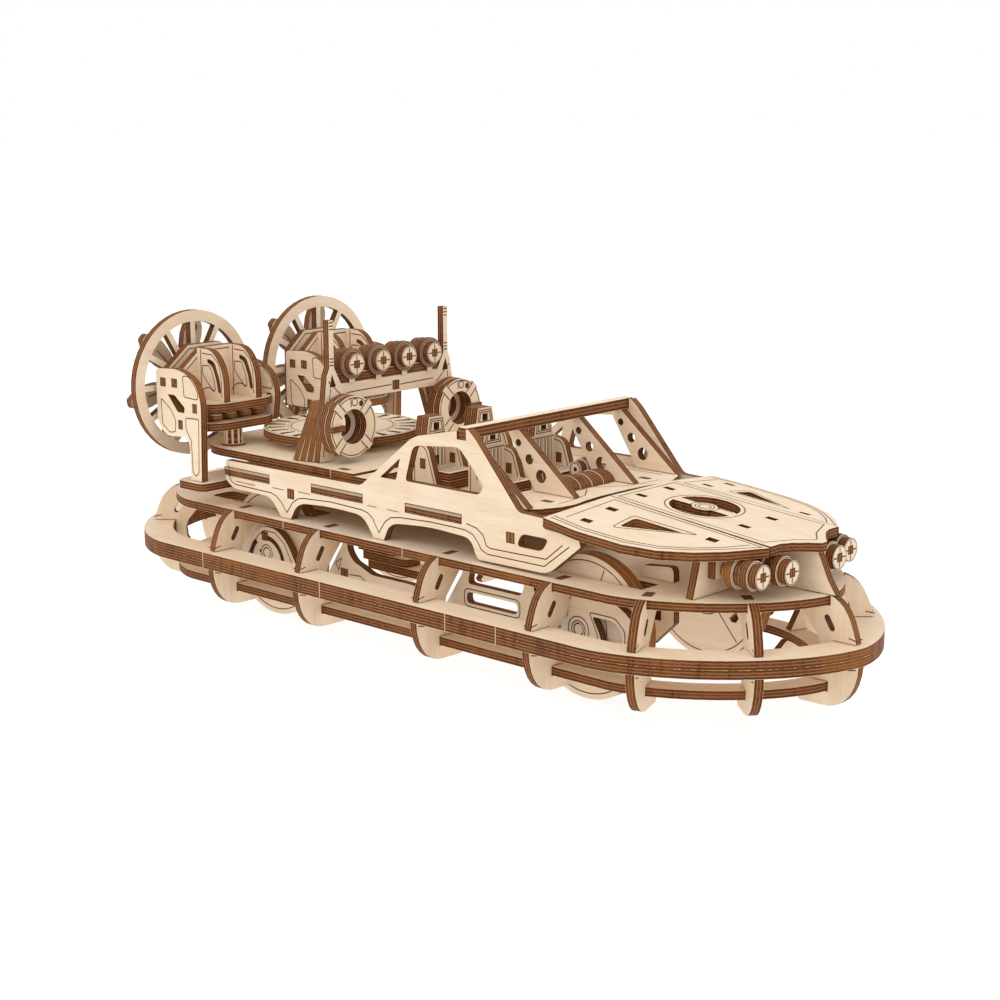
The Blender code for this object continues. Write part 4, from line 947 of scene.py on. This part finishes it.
for side_name, side in SIDES:
    bench = Bench(f"side_panel_boards_{side_name}")
    on = lengthwise(min(side * PANEL_OUT, side * (PANEL_OUT - PLY)))
    bench.board(on, rounded(PANEL), PANEL_HOLES)
    outside = 0 if side < 0 else PLY
    bench.line(on, PANEL_BORDER, outside)
    bench.line(on, PANEL_INNER, outside)
    for first, last, z in PANEL_DASHES:
        bench.line(on, [(first, z), (last, z)], outside, 0.3)
    for a, b in ((62.9, 54), (-63.2, 52.9)):
        bench.tenon(on, a, b, 2, outside)
    # Thin half-scorched strips across the tops of the slots and the notch: painted shadow under their upper
    # edges.
    for first, last in ((-107, -77), (-50, -19), (6, 37)):
        bench.board(on, box(first, 57.9, last, 58.9), (), PAINTED_SLOT_SHADOW, PLY if side > 0 else -PAINTED_SLOT_SHADOW, burn_and_shade=0.5)
    bench.done(f"side_panel_{side_name}")

BAR_REAR, BAR_FRONT, BAR_HALF, BAR_Z, BAR_HIGH = 35.1, 39.6, 50.3, 88.8, 4.4
bench = Bench("roof_bar_board")
bench.board(level(BAR_Z), box(BAR_REAR, -BAR_HALF, BAR_FRONT, BAR_HALF), (), BAR_HIGH, grain=1)
bench.done("roof_bar")

# %% [markdown]
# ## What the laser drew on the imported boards
#
# The side frames, the hood, the coaming, the platform and the ribs stay as they were packed. Scorched
# lines, the ends of tenons and small pins, and the seams of the longer boards are added less than a tenth
# of a millimetre above their faces. Both sides of the model get the same drawing.

# %% Engrave the side frames
for side_name, side in SIDES:
    bench = Bench(f"side_frame_lines_{side_name}")
    on = lengthwise(min(side * FRAME_OUT, side * FRAME_IN))
    outside = 0 if side < 0 else PLY
    loops = (rounded([(32.7, 20.7, 2.5), (62.3, 20.7, 2.5), (62.3, 27.9, 2.5), (32.7, 27.9, 2.5)]),
             circle(92, AXLE_Z, 5), circle(92, AXLE_Z, 3.3), circle(-87, AXLE_Z, 3.6),
             rounded([(97.2, 29.9, 1.5), (109.6, 29.9, 2), (114.5, 25.6, 2), (114.5, 15.6, 1),
                      (102.4, 15.6, 1), (101.4, 21.6, 2)]))
    for loop in loops:
        bench.line(on, loop, outside, closed=True)
    for path in ([(36.4, 18), (37.5, 19.2), (56.8, 19.2), (58.6, 18)],
                 [(-101.4, 16), (-101, 18.4), (-92.4, 29.6), (-88, 32.2), (-81, 32.1), (-75.2, 28),
                  (-71.6, 22), (-69.2, 17.6)],
                 [(-34, 21.7), (-27.4, 22.1), (-22.1, 18.9), (3, 18.9)],
                 [(-42.5, 25.5), (-40.6, 22.6), (-38.8, 28), (-42.5, 25.5)]):
        bench.line(on, path, outside)
    for first, last in ((178, 128), (86, 8)):
        bench.line(on, arc(-87, AXLE_Z - 3.8, 10.6, first, last), outside, 2.2, burn_and_shade=1.3)
    bench.tenon(on, -88, 29.7, 1.9, outside)
    bench.tenon(on, -37.2, 21.6, 2.1, outside)
    for a, b in ((-91.2, 22.6), (-91, 18.2), (-83.6, 17.4), (-81.6, 17.8)):
        bench.board(on, square(a, b, 0.55), (), 0.08, PLY if side > 0 else -0.08, burn_and_shade=1)
    bench.done()

# %% Engrave the hood
VENT_X = 116
HOOD_EDGE = [(82.2, 52.3), (98, 54.3), (119, 53.4), (132, 49.8), (143, 43), (152, 34.5), (161.5, 22.2)]
middle_hood = sheet((0, 0, HOOD_START), (1, 0, HOOD_SLOPE), Y, Z)
bench = Bench("hood_lines_middle")
right_half = [(88, 17), (157, 19.2), (158, 16.3), (161.6, 7), (166.2, 0.8)]
bench.line(middle_hood, right_half + [(a, -b) for a, b in reversed(right_half)], closed=True)
bench.line(middle_hood, circle(VENT_X, 0, 15.2, 72), closed=True)
for radius in (3.7, 2.3):
    bench.line(middle_hood, circle(VENT_X, 0, radius, 32), closed=True)
for first in (40, 220):
    bench.line(middle_hood, arc(VENT_X, 0, 5.6, first - 70, first - 10))
bench.done()
for side_name, side in SIDES:
    bench = Bench(f"hood_lines_{side_name}")
    on = sheet((0, 0, HOOD_SIDE_START), (1, 0, HOOD_SLOPE), (0, side, HOOD_SIDE_SLOPE), Z)
    outer = shifted(HOOD_EDGE, -2.2)[:-1].tolist() + [(159.3, 23.3)]
    bench.line(on, outer + [(89.6, 21.6), (87, 46.4)])
    bench.line(on, shifted(HOOD_EDGE, -3.9)[:-1].tolist() + [(154.5, 24.6)])
    bench.line(on, rounded([(106, 43.2, 2.5), (105.2, 29.4, 2), (135, 28.9, 2)]), closed=True)
    bench.done()

# %% Engrave the coaming, the platform and the ribs
bench = Bench("coaming_lines")
on = level(61.3)
for side_name, side in SIDES:
    bench.line(on, [(60, side * 3), (66.8, side * 12), (68.6, side * 20), (69.6, side * 31)])
    bench.line(on, [(46, side * 40), (64, side * 40)])
    bench.tenon(on, 63, side * 30, 2.4, PLY, 1.4)
    bench.tenon(level(PLATFORM_Z), -38, side * 43, 2.6, PLY, 1.4)
    bench.tenon(level(PLATFORM_Z), -110, side * 20, 2.4, PLY, 1.4)
bench.done()

HALF_WIDTH, SIDE_REAR, SIDE_FRONT = 70, -127.2, 113.7
BOW_LENGTH, STERN_LENGTH, BOW_POWER, STERN_POWER = 75.5, 62, 1.69, 1.75


def station(x, side):
    """The hull's edge at this x, a straight line or a superellipse, and the direction inwards from there."""
    if SIDE_REAR <= x <= SIDE_FRONT:
        return (x, side * HALF_WIDTH), (0, -float(side))
    at_bow = x > 0
    length, power = (BOW_LENGTH, BOW_POWER) if at_bow else (STERN_LENGTH, STERN_POWER)
    t = min(1, (x - SIDE_FRONT) / length if at_bow else (SIDE_REAR - x) / length)
    y = HALF_WIDTH * (1 - t ** power) ** (1 / power)
    slope_x = t ** (power - 1) / length * (1 if at_bow else -1)
    slope_y = (y / HALF_WIDTH) ** (power - 1) / HALF_WIDTH
    size = hypot(slope_x, slope_y)
    return (x, side * y), (-slope_x / size, -side * slope_y / size)


bench = Bench("rib_lines")
ribs = [(x, side) for x in (-97.5, -42.4, 27, 85.9, 132.9, 171, -170) for side in (-1, 1)]
for x, side in ribs + [(SIDE_FRONT + BOW_LENGTH, 1), (SIDE_REAR - STERN_LENGTH, 1)]:
    (px, py), (a, b) = station(x, side)
    through = np.array([b, -a, 0])
    on = sheet(np.array([px, py, 0]) - through * PLY / 2, (a, b, 0), Z, through)
    for low, high in (((3, 26.6), (6.6, 27.3)), ((3, 16), (6.4, 15.2))):
        bench.both(on, [low, high])
SEAM_DEEP = 0.06
SEAMS = [(x, HALF_WIDTH, 18, 2 * PLY, 0.17) for x in (-100, -25, 46.3, 72.7)]
SEAMS += [(-64, 55, 38.2, PLY, 0.17), (8, 55, 38.2, PLY, 0.17), (-42.2, 47.2, PLATFORM_Z, PLY, 0.2)]
for x, y, z, height, half in SEAMS:
    for side in (-1, 1):
        seam = box(x - half, side * y - SEAM_DEEP, x + half, side * y + SEAM_DEEP)
        bench.board(level(z), seam, (), height, burn_and_shade=0.25, share=(0, 0))
bench.done()

# %% [markdown]
# ## The drive inside the hull
#
# Through the gaps between the ribs, blocks of glued boards show behind the side frames, and near the bow
# an upright bracket on each side passes through the deck. They are part of the hidden drive, so only what
# shows is built.

# %% Build the parts of the drive that show
bench = Bench("drive_blocks")
for side in (-1, 1):
    low, high = sorted((side * 30, side * 39))
    for z, first, last in ((24.4, -30, 2), (28, -33, -6), (31.6, -36, -14)):
        outline = rounded([(first, low, 2), (last, low, 2), (last, high, 2), (first, high, 2)])
        bench.board(level(z), outline, (), PLY - 0.1)
bench.done()

bench = Bench("upright_brackets")
for side in (-1, 1):
    on = lengthwise(side * 24 - PLY / 2)
    lower = [(106.6, 38), (106.6, 20), (111.8, 16.1), (121.9, 25.8), (121.7, 38)]
    upper = rounded([(106.6, 41.9, 0), (121.6, 41.9, 0), (121.5, 47.6, 2.5), (106.6, 46, 1)])
    hole = square(114, 28.1, 2)
    bench.board(on, lower, [hole])
    bench.board(on, upper)
    # A scorched plate set inside the bracket's square hole: painted shade inside the hole.
    bench.board(on, hole, (), 1, 1.2, burn_and_shade=1)
bench.done()

# %% [markdown]
# ## Floor and light
#
# The photograph is a bright product shot: white all round, and pale even below. The floor is one large
# sheet that glows a little, as a lit table does, and two wide lamps and a pale sky keep the shadows soft.

# %% Build the floor and the light
bpy.ops.mesh.primitive_plane_add(size=12)
floor = bpy.context.object
floor.name = "floor"
floor_material = bpy.data.materials.new("white_floor")
floor_material.use_nodes = True
floor_shader = floor_material.node_tree.nodes["Principled BSDF"]
for name, value in (("Base Color", (0.2, 0.2, 0.2, 1)), ("Roughness", 0.6), ("Specular IOR Level", 0.1),
                    ("Emission Color", (1, 1, 1, 1)), ("Emission Strength", 0.88)):
    floor_shader.inputs[name].default_value = value
floor.data.materials.append(floor_material)
floor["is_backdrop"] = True

world = bpy.data.worlds.new("pale_sky")
bpy.context.scene.world = world
world.use_nodes = True
sky = world.node_tree.nodes["Background"]
sky.inputs["Color"].default_value = (1, 1, 1, 1)
sky.inputs["Strength"].default_value = 1.0


def lamp(name, place, target, size, power):
    """A square area lamp at a place that looks at a target."""
    data = bpy.data.lights.new(name, "AREA")
    data.size, data.energy = size, power
    made = bpy.data.objects.new(name, data)
    direction = Vector(target) - Vector(place)
    made.matrix_world = Matrix.Translation(place) @ direction.to_track_quat("-Z", "Y").to_matrix().to_4x4()
    bpy.context.scene.collection.objects.link(made)


lamp("key_lamp", (-0.2, -0.9, 1.1), (0, 0, 0.05), 0.7, 3.2)
lamp("bow_lamp", (1.1, 0.2, 0.9), (0, 0, 0.05), 0.6, 1.2)
bpy.context.scene.view_settings.view_transform = "Standard"

# %% Measure and finish
low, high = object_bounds()
